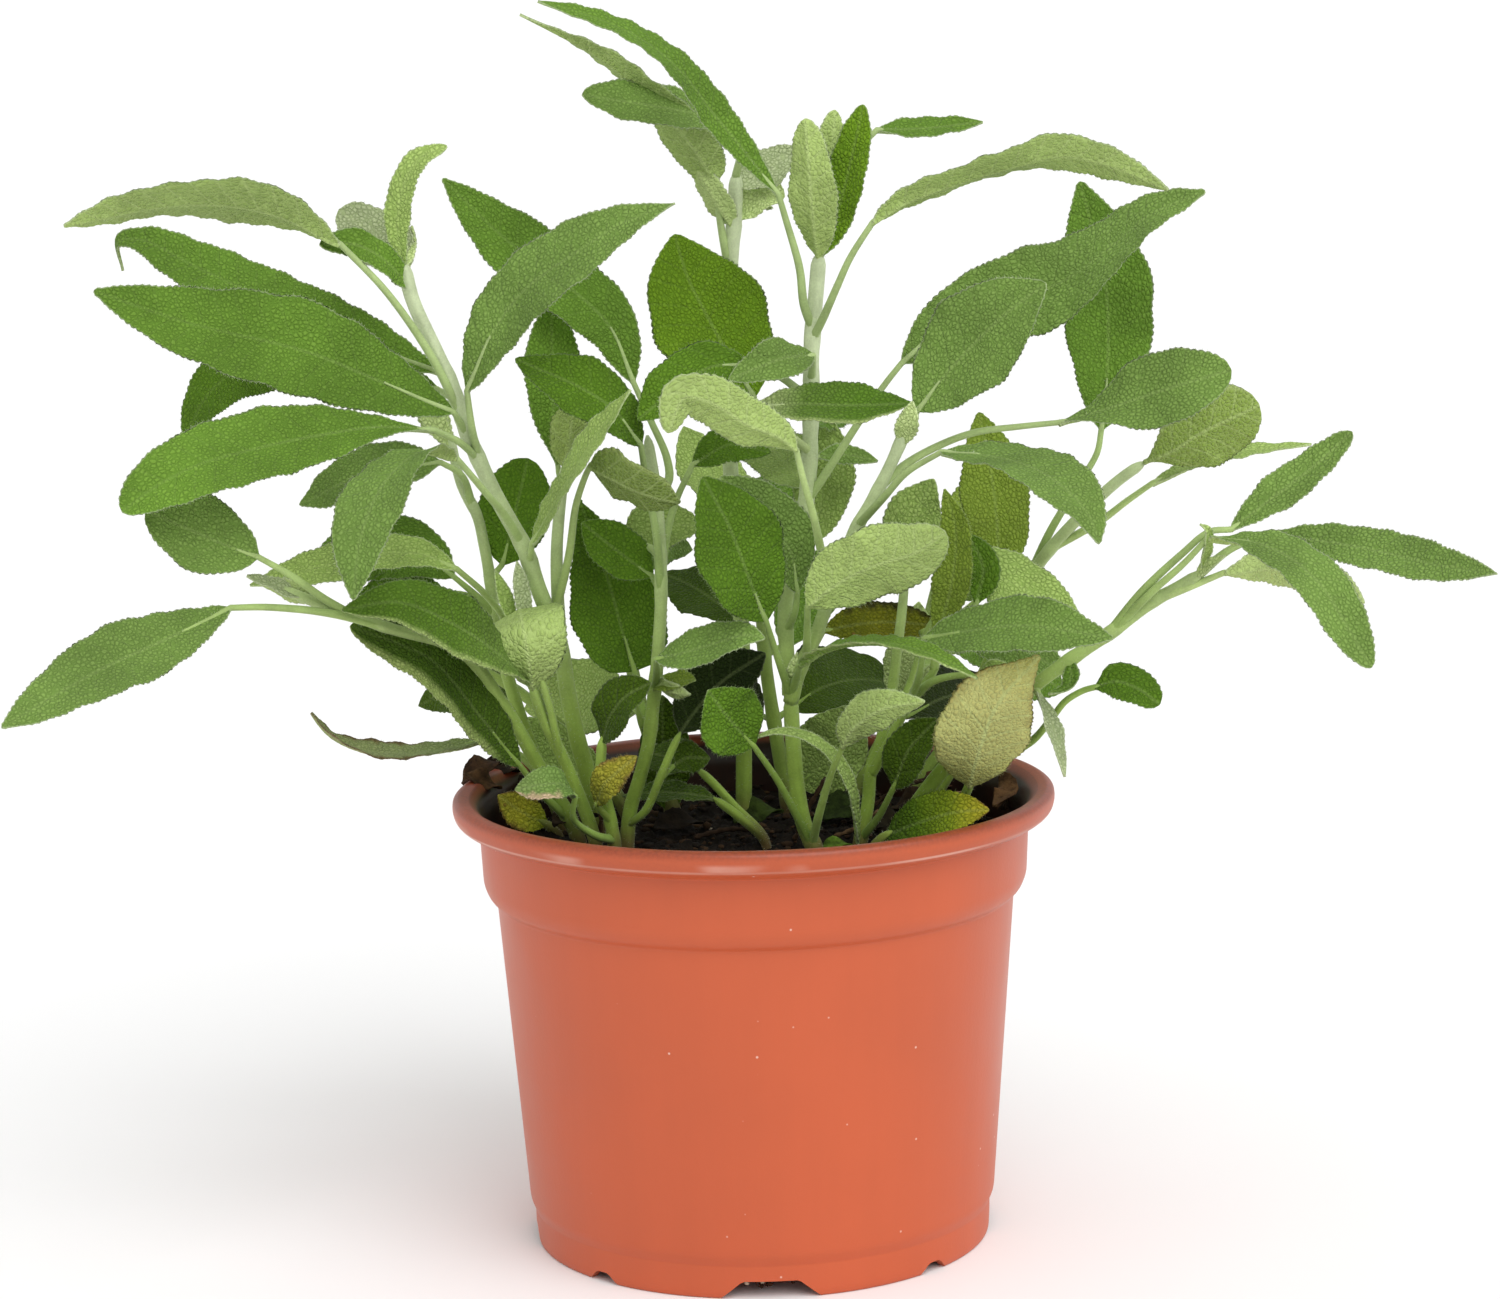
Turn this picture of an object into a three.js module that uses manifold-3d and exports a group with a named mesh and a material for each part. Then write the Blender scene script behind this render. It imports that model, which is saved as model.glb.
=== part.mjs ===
// Potted sage: a round nursery pot, its soil, and the leafy stems that grow from the soil.
// Millimetres, +Z up. The pot's axis is the Z axis and its front is towards -Y.
import * as THREE from 'three';
import Module from 'manifold-3d';

const wasm = await Module();
wasm.setup();

// Pot: outer and inner outline as [radius, height], from the foot to the rim
const POT_HEIGHT = 91.0;
const POT_SIDES = 36;
const FLOOR_UNDER = 5.0;
const FLOOR_TOP = 6.5;
const POT_OUTSIDE = [
  [0, FLOOR_UNDER], [43.5, FLOOR_UNDER], [43.9, 0], [45.55, 0], [45.95, 6.6], [46.9, 8.8],
  [51.65, 70.1], [53.2, 71.3], [54.2, 73.6], [54.75, 84.8], [57.2, 85.3], [59.5, 86.8],
  [60.0, 88.8], [58.6, POT_HEIGHT],
];
const POT_INSIDE = [
  [56.6, 90.7], [54.5, 88.6], [53.5, 85.6], [53.2, 74.9], [50.6, 70.7], [45.0, FLOOR_TOP],
  [0, FLOOR_TOP],
];

// Foot: drain gaps in the foot ring, wide and narrow by turns, each as its width at the foot,
// its width above and its height, and an oval hole in the floor behind each
const GAP_COUNT = 8;
const FIRST_GAP = -88.5;
const WIDE_GAP = [19.6, 11, 3.6];
const NARROW_GAP = [7.6, 3, 2.1];
const DRAIN_RADIUS = 37.5;
const DRAIN_LONG = 9;
const DRAIN_WIDE = 6;
const DRAIN_SIDES = 10;

// Soil
const SOIL_TOP = 79.2;
const SOIL_SIDES = 24;
const SOIL_RINGS = [14, 27, 40, 52.5];
const SOIL_CLEARANCE = 0.5;
const SOIL_LUMPS = 0.5;
const ROOT_DEPTH = 8;
const ROOT_SEAT = 0.3;
const HOLE_CLEARANCE = 0.4;
const HOLE_FLARE = 0.9;
const HOLE_SIDES = 5;

// Leaves and stems
const BLADE_THICK = 0.7;
const BLADE_STEP = 12.5;
const BLADE_END = 0.65;
const BLADE_CUP = 0.16;
const BLADE_WAVE = 0.1;
const BLADE_SINK = 0.8;
const WAVES = 1.6;
const STEM_SIDES = 5;
const STEM_STEP = 17;
const STALK_SIDES = 3;
const STALK_STEP = 14;
const STALK_BASE = 0.95;
const STALK_END = 0.6;

// Outline of a blade: where it is widest along its length, and how blunt its base and tip are
const FORMS = {
  lance: [0.85, 0.75, 0.95],
  broad: [0.95, 0.7, 0.75],
  blunt: [1.0, 0.65, 0.5],
  base: [0.6, 0.6, 1.0],
  spoon: [1.35, 0.9, 0.5],
};

// The lists give each point as [across, up, near] for a viewer in front of the pot: across and
// up on the upright plane through the pot's axis, then moved towards the viewer by near.
const VIEW_DISTANCE = 787;
const VIEW_HEIGHT = 254;

// One entry for each leafy stem: its name, its axes and its leaves. An axis is its radius at the
// base, its radius at the tip, and its points. A leaf is the points of its stalk, the points of
// its midrib, the width of its blade, its rolls from base to tip, and its form. A roll of 0 turns
// the upper face to the viewer, 90 turns it up, and over 90 shows the underside.
const PLANT = [
  ['left_tall_stem', [
    [1.7, 1.25, [[-31, 79, -13], [-33, 94.6, -9], [-34.6, 101, -7], [-36.4, 111, -4],
      [-37.7, 121, -1], [-41.4, 131.6, 2], [-44, 140, 4], [-49, 150, 6], [-51.4, 155.4, 8],
      [-54.6, 163.5, 10], [-57, 172, 11], [-59.8, 178.8, 12], [-64.4, 190, 13], [-65.7, 197, 13]]],
    [1.25, 1, [[-37.7, 124, -1], [-37.7, 139, -1], [-36.6, 149.5, -2], [-35.4, 157, -2]]],
  ], [
    [[[-55.8, 167, 10], [-61.3, 179, 15], [-69.5, 191.5, 19], [-78, 200.8, 22]], [[-78, 200.8, 22],
      [-87, 206.4, 24], [-98, 209.6, 27], [-110, 210, 29], [-121, 208.2, 30], [-131.6, 205.6, 31]],
      15.5, [118, 120, 118], 'broad'],
    [[[-54.5, 163, 10], [-57, 167, 14]], [[-57, 167.4, 14], [-70, 173.6, 20], [-85, 180.2, 25],
      [-108, 186.3, 31], [-126.4, 192.8, 34]], 18.8, [30, 20, 15], 'broad'],
    [[[-58, 174, 11], [-60, 175, 9]], [[-60, 175.4, 9], [-75, 182.4, 4], [-95, 191.8, -2],
      [-108, 198.2, -7], [-116.4, 202.6, -11], [-121.3, 202.2, -13], [-120.6, 196.6, -15]],
      14, [40, 30, 25], 'lance'],
    [[[-56.5, 170, 10], [-60, 172, 4]], [[-60, 172, 4], [-75, 177, -4], [-88, 179, -10],
      [-98, 177.4, -15], [-105.2, 172, -19], [-110, 163.8, -22]], 13.6, [30, 25, 20], 'blunt'],
    [[[-52.5, 158, 9], [-56, 161.4, 14], [-61, 164, 20]], [[-61, 164, 20], [-72, 165, 26],
      [-84, 163.8, 33], [-96, 161.6, 39], [-108, 158.4, 46], [-117, 153.8, 50], [-123, 149.2, 53]],
      16.2, [35, 25, 25], 'spoon'],
    [[[-44.5, 141, 4], [-47.5, 146.5, 10], [-51.4, 151.5, 17], [-57, 158.6, 25]], [[-57, 158.6, 25],
      [-63.6, 160.4, 32], [-71.2, 154.6, 41], [-76.2, 144, 48], [-78.2, 130.6, 52]],
      14.2, [60, 30, 10], 'broad'],
    [[[-52.2, 158, 9], [-53.7, 165, 14], [-54.3, 171.5, 16]], [[-54.3, 171.5, 16],
      [-49.6, 182.4, 20], [-43, 191, 23], [-32.3, 198.4, 27], [-22.2, 204, 30], [-12.6, 207.2, 31]],
      14.6, [25, 25, 30], 'lance'],
    [[[-36.4, 152, -2], [-36.8, 155, -4]], [[-36.8, 155, -4], [-37.4, 163, -6], [-37.4, 173, -8],
      [-37.2, 187.5, -11]], 11.6, [10, 10, 10], 'spoon'],
    [[], [[-35.4, 156, -2], [-34.6, 163, 0], [-33.6, 170, 1]], 8, [160, 160, 160], 'broad'],
    [[[-43.2, 137, 4], [-42.6, 141, 10]], [[-42.6, 141, 10], [-38.4, 149, 17], [-30.6, 161, 23],
      [-22.3, 171, 26]], 10, [62, 62, 62], 'broad'],
    [[[-37.6, 126, -1], [-35.4, 138, 4], [-33.6, 148.5, 9], [-31.4, 154.6, 12], [-30.4, 156.4, 14]],
      [[-30.4, 156.4, 14], [-27, 154.9, 17], [-21, 151.7, 20], [-13, 148.6, 22]],
      14, [135, 130, 125], 'broad'],
    [[], [[-65.8, 196, 13], [-66.8, 203, 15], [-65.6, 211, 16], [-62.3, 216.8, 15],
      [-56.5, 219.3, 14]], 5.8, [25, 25, 30], 'blunt'],
    [[], [[-65.8, 195, 12], [-69.6, 200.6, 8], [-73.8, 204.8, 5], [-78, 207.4, 3]],
      12.4, [30, 30, 30], 'blunt'],
    [[], [[-65.3, 192, 13], [-69, 197.4, 17], [-75, 200.8, 19], [-82, 200.8, 21]],
      7.4, [30, 30, 30], 'blunt'],
    [[], [[-65.8, 196, 12], [-64.9, 200.4, 8], [-63.8, 204, 6]], 4, [20, 20, 20], 'broad'],
  ]],
  ['left_low_stem', [
    [1.5, 0.9, [[-35, 79, -3], [-43, 97, 4], [-50, 110, 11], [-57, 119.5, 16], [-72, 125, 24],
      [-80, 128, 29], [-88, 131.3, 31], [-93, 133.5, 32]]],
  ], [
    [[[-78, 127.5, 28], [-84, 131, 32], [-90, 135.6, 35], [-96.6, 139.4, 37]], [[-96.6, 139.6, 37],
      [-103.8, 142.8, 39], [-111, 146.2, 41], [-118.4, 149.4, 42]], 15.2, [20, 20, 20], 'blunt'],
    [[[-72, 125, 24], [-80, 127.4, 30], [-86, 128.6, 34], [-91, 129.2, 36], [-96.4, 129.6, 38],
      [-102.5, 129.6, 41]], [[-102.5, 129.6, 41], [-115, 124.2, 50], [-130, 117.6, 62],
      [-149, 106.6, 75]], 14, [30, 25, 25], 'broad'],
    [[[-38, 86, 0], [-42, 90.5, 5], [-46.2, 96.2, 9]], [[-46.2, 96.2, 9], [-54.2, 107.5, 16],
      [-63, 118.4, 21], [-79, 125.4, 25]], 12.6, [25, 25, 25], 'blunt'],
    [[[-41, 93, 2], [-47, 99, 0], [-54, 101.8, -2]], [[-54, 101.8, -2], [-62, 100.6, 0],
      [-69.5, 100, 2], [-77, 100.8, 4], [-83.2, 103.6, 5], [-87.4, 108.2, 5]], 9.4, [74, 78, 80],
      'blunt'],
    [[], [[-88, 131.3, 31], [-93, 133.8, 33], [-99, 136, 34]], 5, [60, 60, 60], 'broad'],
    [[], [[-84, 130, 30], [-91, 133, 28], [-98, 135.5, 27]], 5, [140, 140, 140], 'broad'],
  ]],
  ['left_inner_stem', [
    [1.45, 0.9, [[-38, 79, -17], [-44, 100, -19], [-49, 118, -17], [-50.5, 127, -16],
      [-51, 134, -15], [-52, 141, -14], [-53.2, 147, -13], [-56, 153, -12], [-58, 163, -11]]],
  ], [
    [[], [[-58, 160, -11], [-61, 166, -9], [-66, 172, -8]], 5, [20, 20, 20], 'broad'],
    [[], [[-57.5, 160, -11], [-62, 168, -13], [-67, 174.5, -14]], 6, [20, 20, 20], 'broad'],
    [[[-54, 149, -13], [-56, 155, -9], [-60, 157.6, -7]], [[-60, 157.6, -7], [-74, 156.4, -9],
      [-88, 149.8, -13]], 12.2, [30, 30, 30], 'broad'],
    [[[-50.5, 127, -16], [-54, 131, -13], [-58.2, 134.8, -11]], [[-58.2, 134.8, -11],
      [-64.2, 139.4, -11], [-73.5, 141.2, -12], [-88, 136.5, -14]], 14.8, [20, 20, 20], 'broad'],
    [[[-51, 134, -15], [-48.5, 137, -15]], [[-48.5, 137, -15], [-46.2, 146, -15],
      [-42.8, 158, -16]], 15.4, [15, 15, 15], 'blunt'],
    [[[-49.3, 120, -17], [-48, 125, -9], [-52, 131, -4], [-57.5, 136.3, 0]], [[-57.5, 136.3, 0],
      [-64, 139.5, 1], [-74, 139.8, 2], [-84, 137.7, 3], [-98.5, 134, 4]], 9.5, [35, 35, 35],
      'broad'],
    [[[-50.5, 127, -16], [-56, 131, -12], [-60, 131.6, -9]], [[-60, 131.6, -9], [-68, 132.2, -8],
      [-79, 128.6, -6]], 9.6, [20, 20, 20], 'broad'],
  ]],
  ['left_mid_stem', [
    [1.35, 1.05, [[-31.5, 79, 4], [-37, 96, 6], [-41, 105, 9], [-43.5, 113, 12]]],
    [0.8, 0.7, [[-37.2, 94.5, 4], [-38.5, 100, 8], [-40, 108, 11], [-41.5, 114, 13]]],
  ], [
    [[], [[-43, 112.5, 12], [-43.8, 118, 15], [-44.5, 123.5, 15], [-45, 126.3, 9], [-46, 127, -1]],
      17, [172, 172, 172], 'broad'],
    [[], [[-43.5, 113, 12], [-50, 119.8, 20], [-58, 125.3, 26], [-69, 130, 31], [-80.5, 128.6, 34]],
      12.4, [60, 15, 10], 'broad'],
    [[[-43.3, 112, 12], [-43.8, 118, 9], [-44.2, 124, 6]], [[-44.2, 124, 6], [-44.7, 130.5, 5],
      [-45.6, 137.6, 5]], 3.6, [10, 10, 10], 'broad'],
    [[[-43.3, 112, 12], [-45.5, 118, 8], [-46.5, 124, 4]], [[-46.5, 124, 4], [-48, 130, 3],
      [-50, 136, 2.5]], 3, [10, 10, 10], 'broad'],
  ]],
  ['left_front_stem', [
    [1.3, 0.95, [[-27.8, 78, 8], [-29, 87, 9], [-30.3, 93.5, 10], [-29.8, 102, 11]]],
  ], [
    [[], [[-29.8, 101, 11], [-28.8, 105.5, 14], [-25.5, 109.8, 16], [-19.8, 112.6, 17]],
      11, [30, 30, 30], 'broad'],
    [[[-28.2, 81, 8.5], [-32, 82, 15], [-36, 85.5, 20], [-35.5, 90, 22]], [[-35.5, 90, 22],
      [-37.5, 92.6, 24], [-42, 92.6, 26], [-47.5, 91.5, 25]], 8, [50, 35, 20], 'broad'],
    [[[-28.8, 85, 9], [-31.5, 88, 13]], [[-31.5, 88, 13], [-30, 92, 16], [-27, 94.8, 17],
      [-23, 97.8, 17]], 7, [20, 20, 20], 'broad'],
  ]],
  ['front_left_stem', [
    [1.45, 1, [[-25.5, 78, 2], [-24.6, 87, 3], [-22.6, 93.3, 4], [-20.7, 100, 5], [-19.8, 106, 6],
      [-19, 112, 6], [-18.1, 120, 5], [-17.3, 131, 4], [-17.6, 149, 3], [-19.2, 162, 2]]],
    [0.8, 0.7, [[-24.9, 84, 3], [-21.5, 86.8, 7], [-18.6, 93, 9], [-16.2, 98.5, 8],
      [-14.2, 102.5, 6]]],
  ], [
    [[[-19.2, 111.5, 6], [-18.6, 115, 12], [-18.8, 117.3, 17]], [[-18.8, 117.3, 17],
      [-13, 118.8, 21], [-7, 120.5, 24], [-1, 121.8, 26], [3, 121, 27]], 9.5, [35, 30, 25],
      'broad'],
    [[], [[-19, 112.3, 6], [-15.5, 113, 11], [-11, 113, 14]], 7, [50, 50, 50], 'broad'],
    [[], [[-18.8, 112.5, 7], [-15, 110.8, 13], [-12, 110, 15]], 4.5, [140, 140, 140], 'broad'],
    [[[-17.5, 131, 4], [-18, 143, 7], [-19.5, 152, 9], [-20.5, 160, 12]], [[-20.5, 160, 12],
      [-25, 167, 14], [-31.6, 171.8, 14], [-44.6, 177.6, 11]], 13, [30, 30, 30], 'broad'],
    [[[-17.7, 133, 4], [-16, 141.6, 0], [-13.9, 148.8, -3], [-10.4, 156, -5]], [[-10.4, 156, -5],
      [-3, 160, -6], [5, 158, -7]], 9, [30, 30, 30], 'broad'],
    [[[-18, 150, 3], [-15.2, 153, 0], [-15.5, 157.5, -2], [-18.5, 165, -4], [-21.6, 172.4, -6]],
      [[-21.6, 172.4, -6], [-25.8, 183.6, -8], [-35.6, 193.4, -9], [-46.3, 201.8, -10],
      [-57.6, 213, -11]], 14.8, [20, 20, 20], 'broad'],
    [[[-20.2, 104, 5.5], [-22.4, 110, 0], [-23, 115, -5]], [[-23, 115, -5], [-24.8, 122.5, -7],
      [-27.4, 133, -9], [-33, 149.6, -10]], 19.6, [15, 15, 15], 'base'],
    [[[-17.6, 131, 4], [-19, 134, -2]], [[-19, 134, -2], [-24, 138, -3], [-32.6, 145, -4]],
      11, [20, 20, 20], 'broad'],
    [[[-17.4, 138, 4], [-20, 140, -6], [-24, 140.6, -11]], [[-24, 140.6, -11], [-18, 144, -13],
      [-9, 144, -15]], 11, [20, 20, 20], 'broad'],
    [[], [[-14.2, 102, 6], [-11, 107, 2], [-6, 112.5, -2], [3, 118, -6]], 13, [20, 20, 20],
      'broad'],
    [[[-18.6, 93, 9], [-16, 95.5, 6]], [[-16, 95.5, 6], [-13, 97.3, 3], [-8.5, 97, 0]],
      7, [20, 20, 20], 'broad'],
  ]],
  ['centre_stem', [
    [1.55, 1.45, [[12.3, 76, 12], [10, 83, 12], [8.7, 91, 12], [8.2, 99, 12], [8, 104, 12],
      [7.8, 109.5, 12]]],
    [1.4, 1.45, [[7.8, 109.5, 12], [7.3, 118, 10], [7.2, 127, 8], [9.5, 137, 5], [12, 150, 2],
      [13, 165, 0], [13.5, 179, -1], [14.6, 190, -2], [15.3, 197, -2]]],
    [1.35, 1.1, [[7.8, 108, 12], [10, 115, 14], [13, 121, 16], [15.7, 128.4, 17], [18.4, 135.4, 17],
      [21.2, 142, 17], [25.6, 149.5, 18], [29.2, 156.5, 19], [32.2, 163.2, 20], [34.2, 167, 21]]],
  ], [
    [[[7.8, 109.5, 12], [7, 112, 15], [5, 118.5, 20], [3.3, 124.5, 24]], [[3.3, 124.5, 24],
      [0.5, 133, 28], [-3, 143, 30], [-8.5, 153.5, 29]], 18.5, [20, 20, 20], 'broad'],
    [[[7.3, 122, 9], [9, 126, 12], [9.6, 130, 13.5]], [[9.6, 130, 13.5], [8.8, 138, 15.5],
      [3, 146.6, 17], [-5, 153.4, 17]], 13, [20, 20, 20], 'broad'],
    [[[11, 117, 15], [11.4, 121.5, 20], [11.4, 124.6, 24.6]], [[11.6, 127.2, 26], [17.5, 132, 29],
      [25, 135.6, 32], [33, 137.9, 34], [39, 141.6, 36]], 15.4, [156, 156, 156], 'blunt'],
    [[[8.3, 110, 12], [9.3, 113.5, 18], [9.8, 115.6, 23]], [[9.8, 115.6, 23], [14, 118.7, 31],
      [20, 120.2, 40], [28, 119.8, 48], [37, 116.8, 54], [45, 112, 57]], 8.5, [64, 60, 60],
      'broad'],
    [[], [[8, 109, 12], [8.5, 113.5, 14.5], [9.3, 118, 15]], 3, [10, 10, 10], 'broad'],
    [[[11.3, 79, 12], [9, 84, 15], [5, 92, 20], [0.3, 99.3, 25]], [[0.3, 99.3, 25], [-2, 102.3, 27],
      [-5, 106, 29], [-8.5, 110.8, 30]], 14.5, [20, 20, 20], 'broad'],
    [[[12, 79, 13], [13, 85, 18], [15.5, 93, 23], [18, 98.8, 27]], [[18, 98.8, 27], [20.5, 103, 30],
      [26, 106.6, 33], [34.5, 107.6, 35]], 8.5, [150, 150, 150], 'broad'],
    [[[33.8, 165.5, 20.7], [34, 166, 22]], [[34, 165.6, 22], [38, 171.2, 24], [43.2, 177, 26],
      [50.8, 184, 29], [59.4, 190, 31]], 19.4, [20, 20, 20], 'broad'],
    [[], [[31.5, 158, 19.5], [32, 163, 23], [33, 167.5, 24]], 4.5, [10, 10, 10], 'broad'],
    [[[22.5, 143, 17], [27, 148.6, 24], [31.5, 153.4, 28], [38.5, 157.4, 34]], [[38.5, 157.4, 34],
      [46.3, 157.2, 41], [55.8, 154.8, 49], [63, 149.9, 56], [67.4, 144.4, 61], [69.4, 138.4, 64]],
      14.6, [35, 30, 25], 'broad'],
    [[[26.2, 150.5, 18], [31, 154.8, 15], [38, 158.6, 15], [45, 161, 17], [54, 162, 18],
      [61.5, 162.6, 19]], [[61.5, 162.6, 19], [69, 164.8, 22], [78.5, 167.8, 25], [86.5, 170, 28],
      [95.6, 172.2, 29]], 15.4, [70, 40, 20, 15], 'spoon'],
    [[[17, 130, 17], [14.8, 136.7, 22], [13, 145.7, 27], [11.2, 152.8, 31], [10, 158, 33]],
      [[10, 158.4, 33], [6.6, 161.4, 35], [0, 164.4, 38], [-7, 168.8, 41], [-12, 169.6, 42],
      [-15.3, 162.4, 42]], 10.4, [150, 150, 150], 'blunt'],
    [[[12.8, 158, 0], [8, 162, 8], [2, 166.5, 14]], [[2, 167.2, 15], [10, 167.8, 19],
      [20, 167.3, 21], [33, 167, 22]], 10.5, [40, 40, 40], 'broad'],
    [[[13, 168, 0], [7, 173, 6], [1, 175.5, 10]], [[1, 175.5, 10], [-6, 175.5, 12],
      [-12, 172.5, 14], [-21, 165, 16]], 12.5, [25, 25, 25], 'broad'],
    [[[13.3, 172, 0], [13.8, 176, 5]], [[13.8, 177, 5], [8, 176.8, 12], [3, 175, 14],
      [-3, 172.5, 15]], 9, [25, 25, 25], 'broad'],
    [[[13.8, 182, -1], [12.1, 187, 1], [11.4, 194, 3], [8.8, 204, 6], [7.6, 208.4, 8]],
      [[7.6, 208.4, 8], [2.2, 215.8, 11], [-4.4, 224.4, 14], [-10.2, 232.4, 17], [-17.2, 238.6, 19],
      [-26, 243, 21], [-38, 246.6, 23]], 8.6, [30, 30, 45, 60, 55], 'broad'],
    [[], [[15, 196, -1], [14.6, 204, 3], [14, 213, 5], [13.2, 223, 5]], 9.8, [160, 160, 160],
      'blunt'],
    [[], [[16.2, 196, -2], [18.4, 203.4, -2], [21, 212.4, -2], [24.4, 225.4, -2]], 9, [20, 30, 30],
      'blunt'],
    [[], [[15.5, 196, -3], [17, 210, -8], [18.8, 224.5, -10]], 8.4, [160, 160, 160], 'blunt'],
    [[[15.5, 196, -3], [20, 210, -12], [24, 217.5, -15], [27, 220.5, -16]], [[27, 220.5, -16],
      [36, 220.8, -19], [47.5, 221.5, -22]], 6.5, [50, 50, 50], 'broad'],
    [[[14, 180, -1], [15.7, 184, 2], [18.5, 190, 6], [21.4, 196, 9], [25.8, 202.6, 12]],
      [[25.8, 202.6, 12], [31, 206.4, 14], [37.5, 209.2, 16], [45, 211.6, 18], [53, 213.6, 20],
      [62.5, 215.2, 22], [73, 212.6, 24], [83.5, 207.6, 25]],
      11.8, [130, 120, 98, 106, 138, 145, 136], 'broad'],
    [[[12, 148, 2.5], [17, 155.5, 2], [22, 163, 1], [27.7, 171, 0], [31, 175, 0]], [[31, 175, 0],
      [40, 182.6, 1], [50.8, 186.8, 3], [61, 190, 6], [70.5, 196.2, 9], [79.5, 203, 11],
      [90.6, 207.2, 12]], 17.6, [15, 10, 20, 45, 45, 35], 'broad'],
    [[[10, 115, 14], [12.4, 118.6, 8], [14.6, 122, 3]], [[14.6, 122.2, 3], [22, 123.6, 1],
      [29, 123.8, -1], [38, 122.5, -3]], 9, [20, 20, 20], 'broad'],
    [[[9.5, 137, 5], [11, 139, -4], [13, 140, -10]], [[13, 140, -10], [14.4, 147, -12],
      [15.6, 155, -13], [16.4, 165, -14]], 12.6, [10, 10, 10], 'broad'],
    [[[12.5, 156, 1], [14, 157, -4]], [[14, 157, -4], [20, 157.3, -6], [26, 155.8, -7]],
      5, [40, 40, 40], 'broad'],
    [[], [[13, 164.5, 0], [15, 166, -18], [17, 167, -34], [16, 167, -50]], 11, [20, 20, 20],
      'broad'],
    [[], [[12, 151, 2], [8, 156, -14], [3, 161, -30], [-2, 163, -46]], 13, [20, 20, 20], 'broad'],
  ]],
  ['tall_back_stem', [
    [1.6, 1.4, [[-2, 78, -20], [-1.5, 110, -22], [-2, 140, -21], [-3, 155, -20], [-3.5, 175, -19],
      [-2.3, 190, -18], [-2, 195, -18], [-1, 205, -18], [-0.5, 213, -18]]],
  ], [
    [[[-3.2, 160, -20], [-0.5, 165, -12], [2, 169, -8]], [[2, 169, -8], [-2.4, 177, -9],
      [-7, 186, -11], [-10.4, 193, -13], [-12.8, 201.2, -15]], 23.6, [12, 12, 12], 'broad'],
    [[[-2.2, 193, -18], [-3.8, 203, -16.5], [-4.6, 211.4, -15]], [[-4.6, 211.4, -15],
      [-9.6, 220, -9], [-17.2, 228.8, -4], [-27, 236.8, 1], [-41.5, 244.2, 5]],
      11, [155, 140, 112, 108, 106], 'base'],
    [[[-0.5, 212, -18], [0.5, 218, -13], [-3, 223.5, -7]], [[-3, 223.5, -7], [-14, 226, 0],
      [-30, 228.6, 4]], 10.8, [40, 40, 40], 'blunt'],
    [[], [[-1.5, 202, -18], [-4.5, 208, -15], [-8.5, 214.5, -13]], 6.5, [150, 150, 150], 'broad'],
    [[[-2, 190, -18], [-1.5, 198, -18.5], [0, 204, -19]], [[0, 204, -19], [4, 209.5, -20],
      [8.8, 208, -21]], 10.5, [30, 30, 30], 'blunt'],
    [[], [[-0.5, 210, -18], [5, 213.5, -20], [11.5, 217.5, -22]], 9, [30, 30, 30], 'broad'],
    [[], [[-3.5, 176, -19], [-6, 182, -34], [-8, 188, -50], [-8, 190, -62]], 16, [20, 20, 20],
      'broad'],
  ]],
  ['right_centre_stem', [
    [1.4, 0.85, [[21, 77, 8], [22.8, 87, 8], [23.5, 93.5, 8], [25.5, 99, 8], [26.8, 105, 8],
      [28, 110, 8], [29, 117, 8], [29.6, 121, 8], [30.5, 128, 8], [31, 134, 8]]],
    [1.1, 0.75, [[23.5, 93, 8], [27, 99, 11], [29.5, 104, 13], [32, 108, 15], [36.5, 114, 17],
      [37, 118, 17]]],
    [0.7, 0.6, [[26.3, 102.5, 8], [31, 110, 6], [33, 115.5, 4], [34, 121, 3]]],
  ], [
    [[[22, 80, 8], [25, 84.5, 14], [28, 90.2, 19]], [[28, 90.2, 19], [29, 93.5, 21], [31, 98, 22],
      [37, 104, 22]], 10, [25, 25, 25], 'broad'],
    [[[31, 107, 14.5], [33.5, 113, 22], [34.5, 120, 27]], [[34.5, 120.3, 27], [42, 121.7, 33],
      [53, 122.7, 40], [62, 121.5, 45], [72, 119.3, 48]], 12.5, [25, 25, 25], 'broad'],
    [[[32.3, 108.8, 15.5], [36, 111.5, 20], [41, 112.6, 23], [45, 112.3, 24]], [[45, 112.3, 24],
      [48, 113.8, 25], [52, 114, 25]], 4, [30, 30, 30], 'broad'],
    [[[36.5, 114, 17], [36.9, 118, 17]], [[36.9, 120, 17], [40, 131, 20], [41, 142, 20],
      [39, 150, 19]], 8, [20, 20, 20], 'broad'],
    [[], [[31, 133, 8], [31.5, 140, 7], [33.5, 146, 6], [37, 152, 5]], 12, [20, 20, 20], 'broad'],
    [[[34, 121, 3], [42, 125, -2], [49, 131, -5]], [[49, 131, -5], [49.5, 140, -7], [48.5, 152, -9],
      [46, 165, -11]], 14, [10, 10, 10], 'broad'],
    [[[33.5, 117, 4], [36, 123, 6], [40, 128, 8]], [[40, 128, 8], [46.6, 132.8, 9], [54.4, 130, 10],
      [66.6, 122.6, 11]], 12.6, [25, 25, 25], 'lance'],
    [[[36.8, 116, 17], [40, 121, 15], [45, 127, 14]], [[45, 127, 14], [46.5, 134, 14],
      [43.5, 141, 14]], 7, [20, 20, 20], 'broad'],
    [[[32.5, 114, 4], [38, 117, -3], [44, 118, -5]], [[44, 118, -5], [52, 118.4, -5],
      [62.6, 112.6, -7]], 10.6, [20, 20, 20], 'broad'],
    [[], [[21, 78, 9], [20.6, 85, 14], [19.5, 91, 18], [16.5, 96.5, 20], [11, 101, 21.5],
      [5, 102.2, 22], [-0.5, 100.6, 22]], 3.4, [30, 30, 30], 'broad'],
  ]],
  ['right_low_stem', [
    [1.7, 1.25, [[28, 78, 6], [35, 90, 13], [45, 101, 20], [56, 110, 24], [66, 117, 27],
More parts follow.
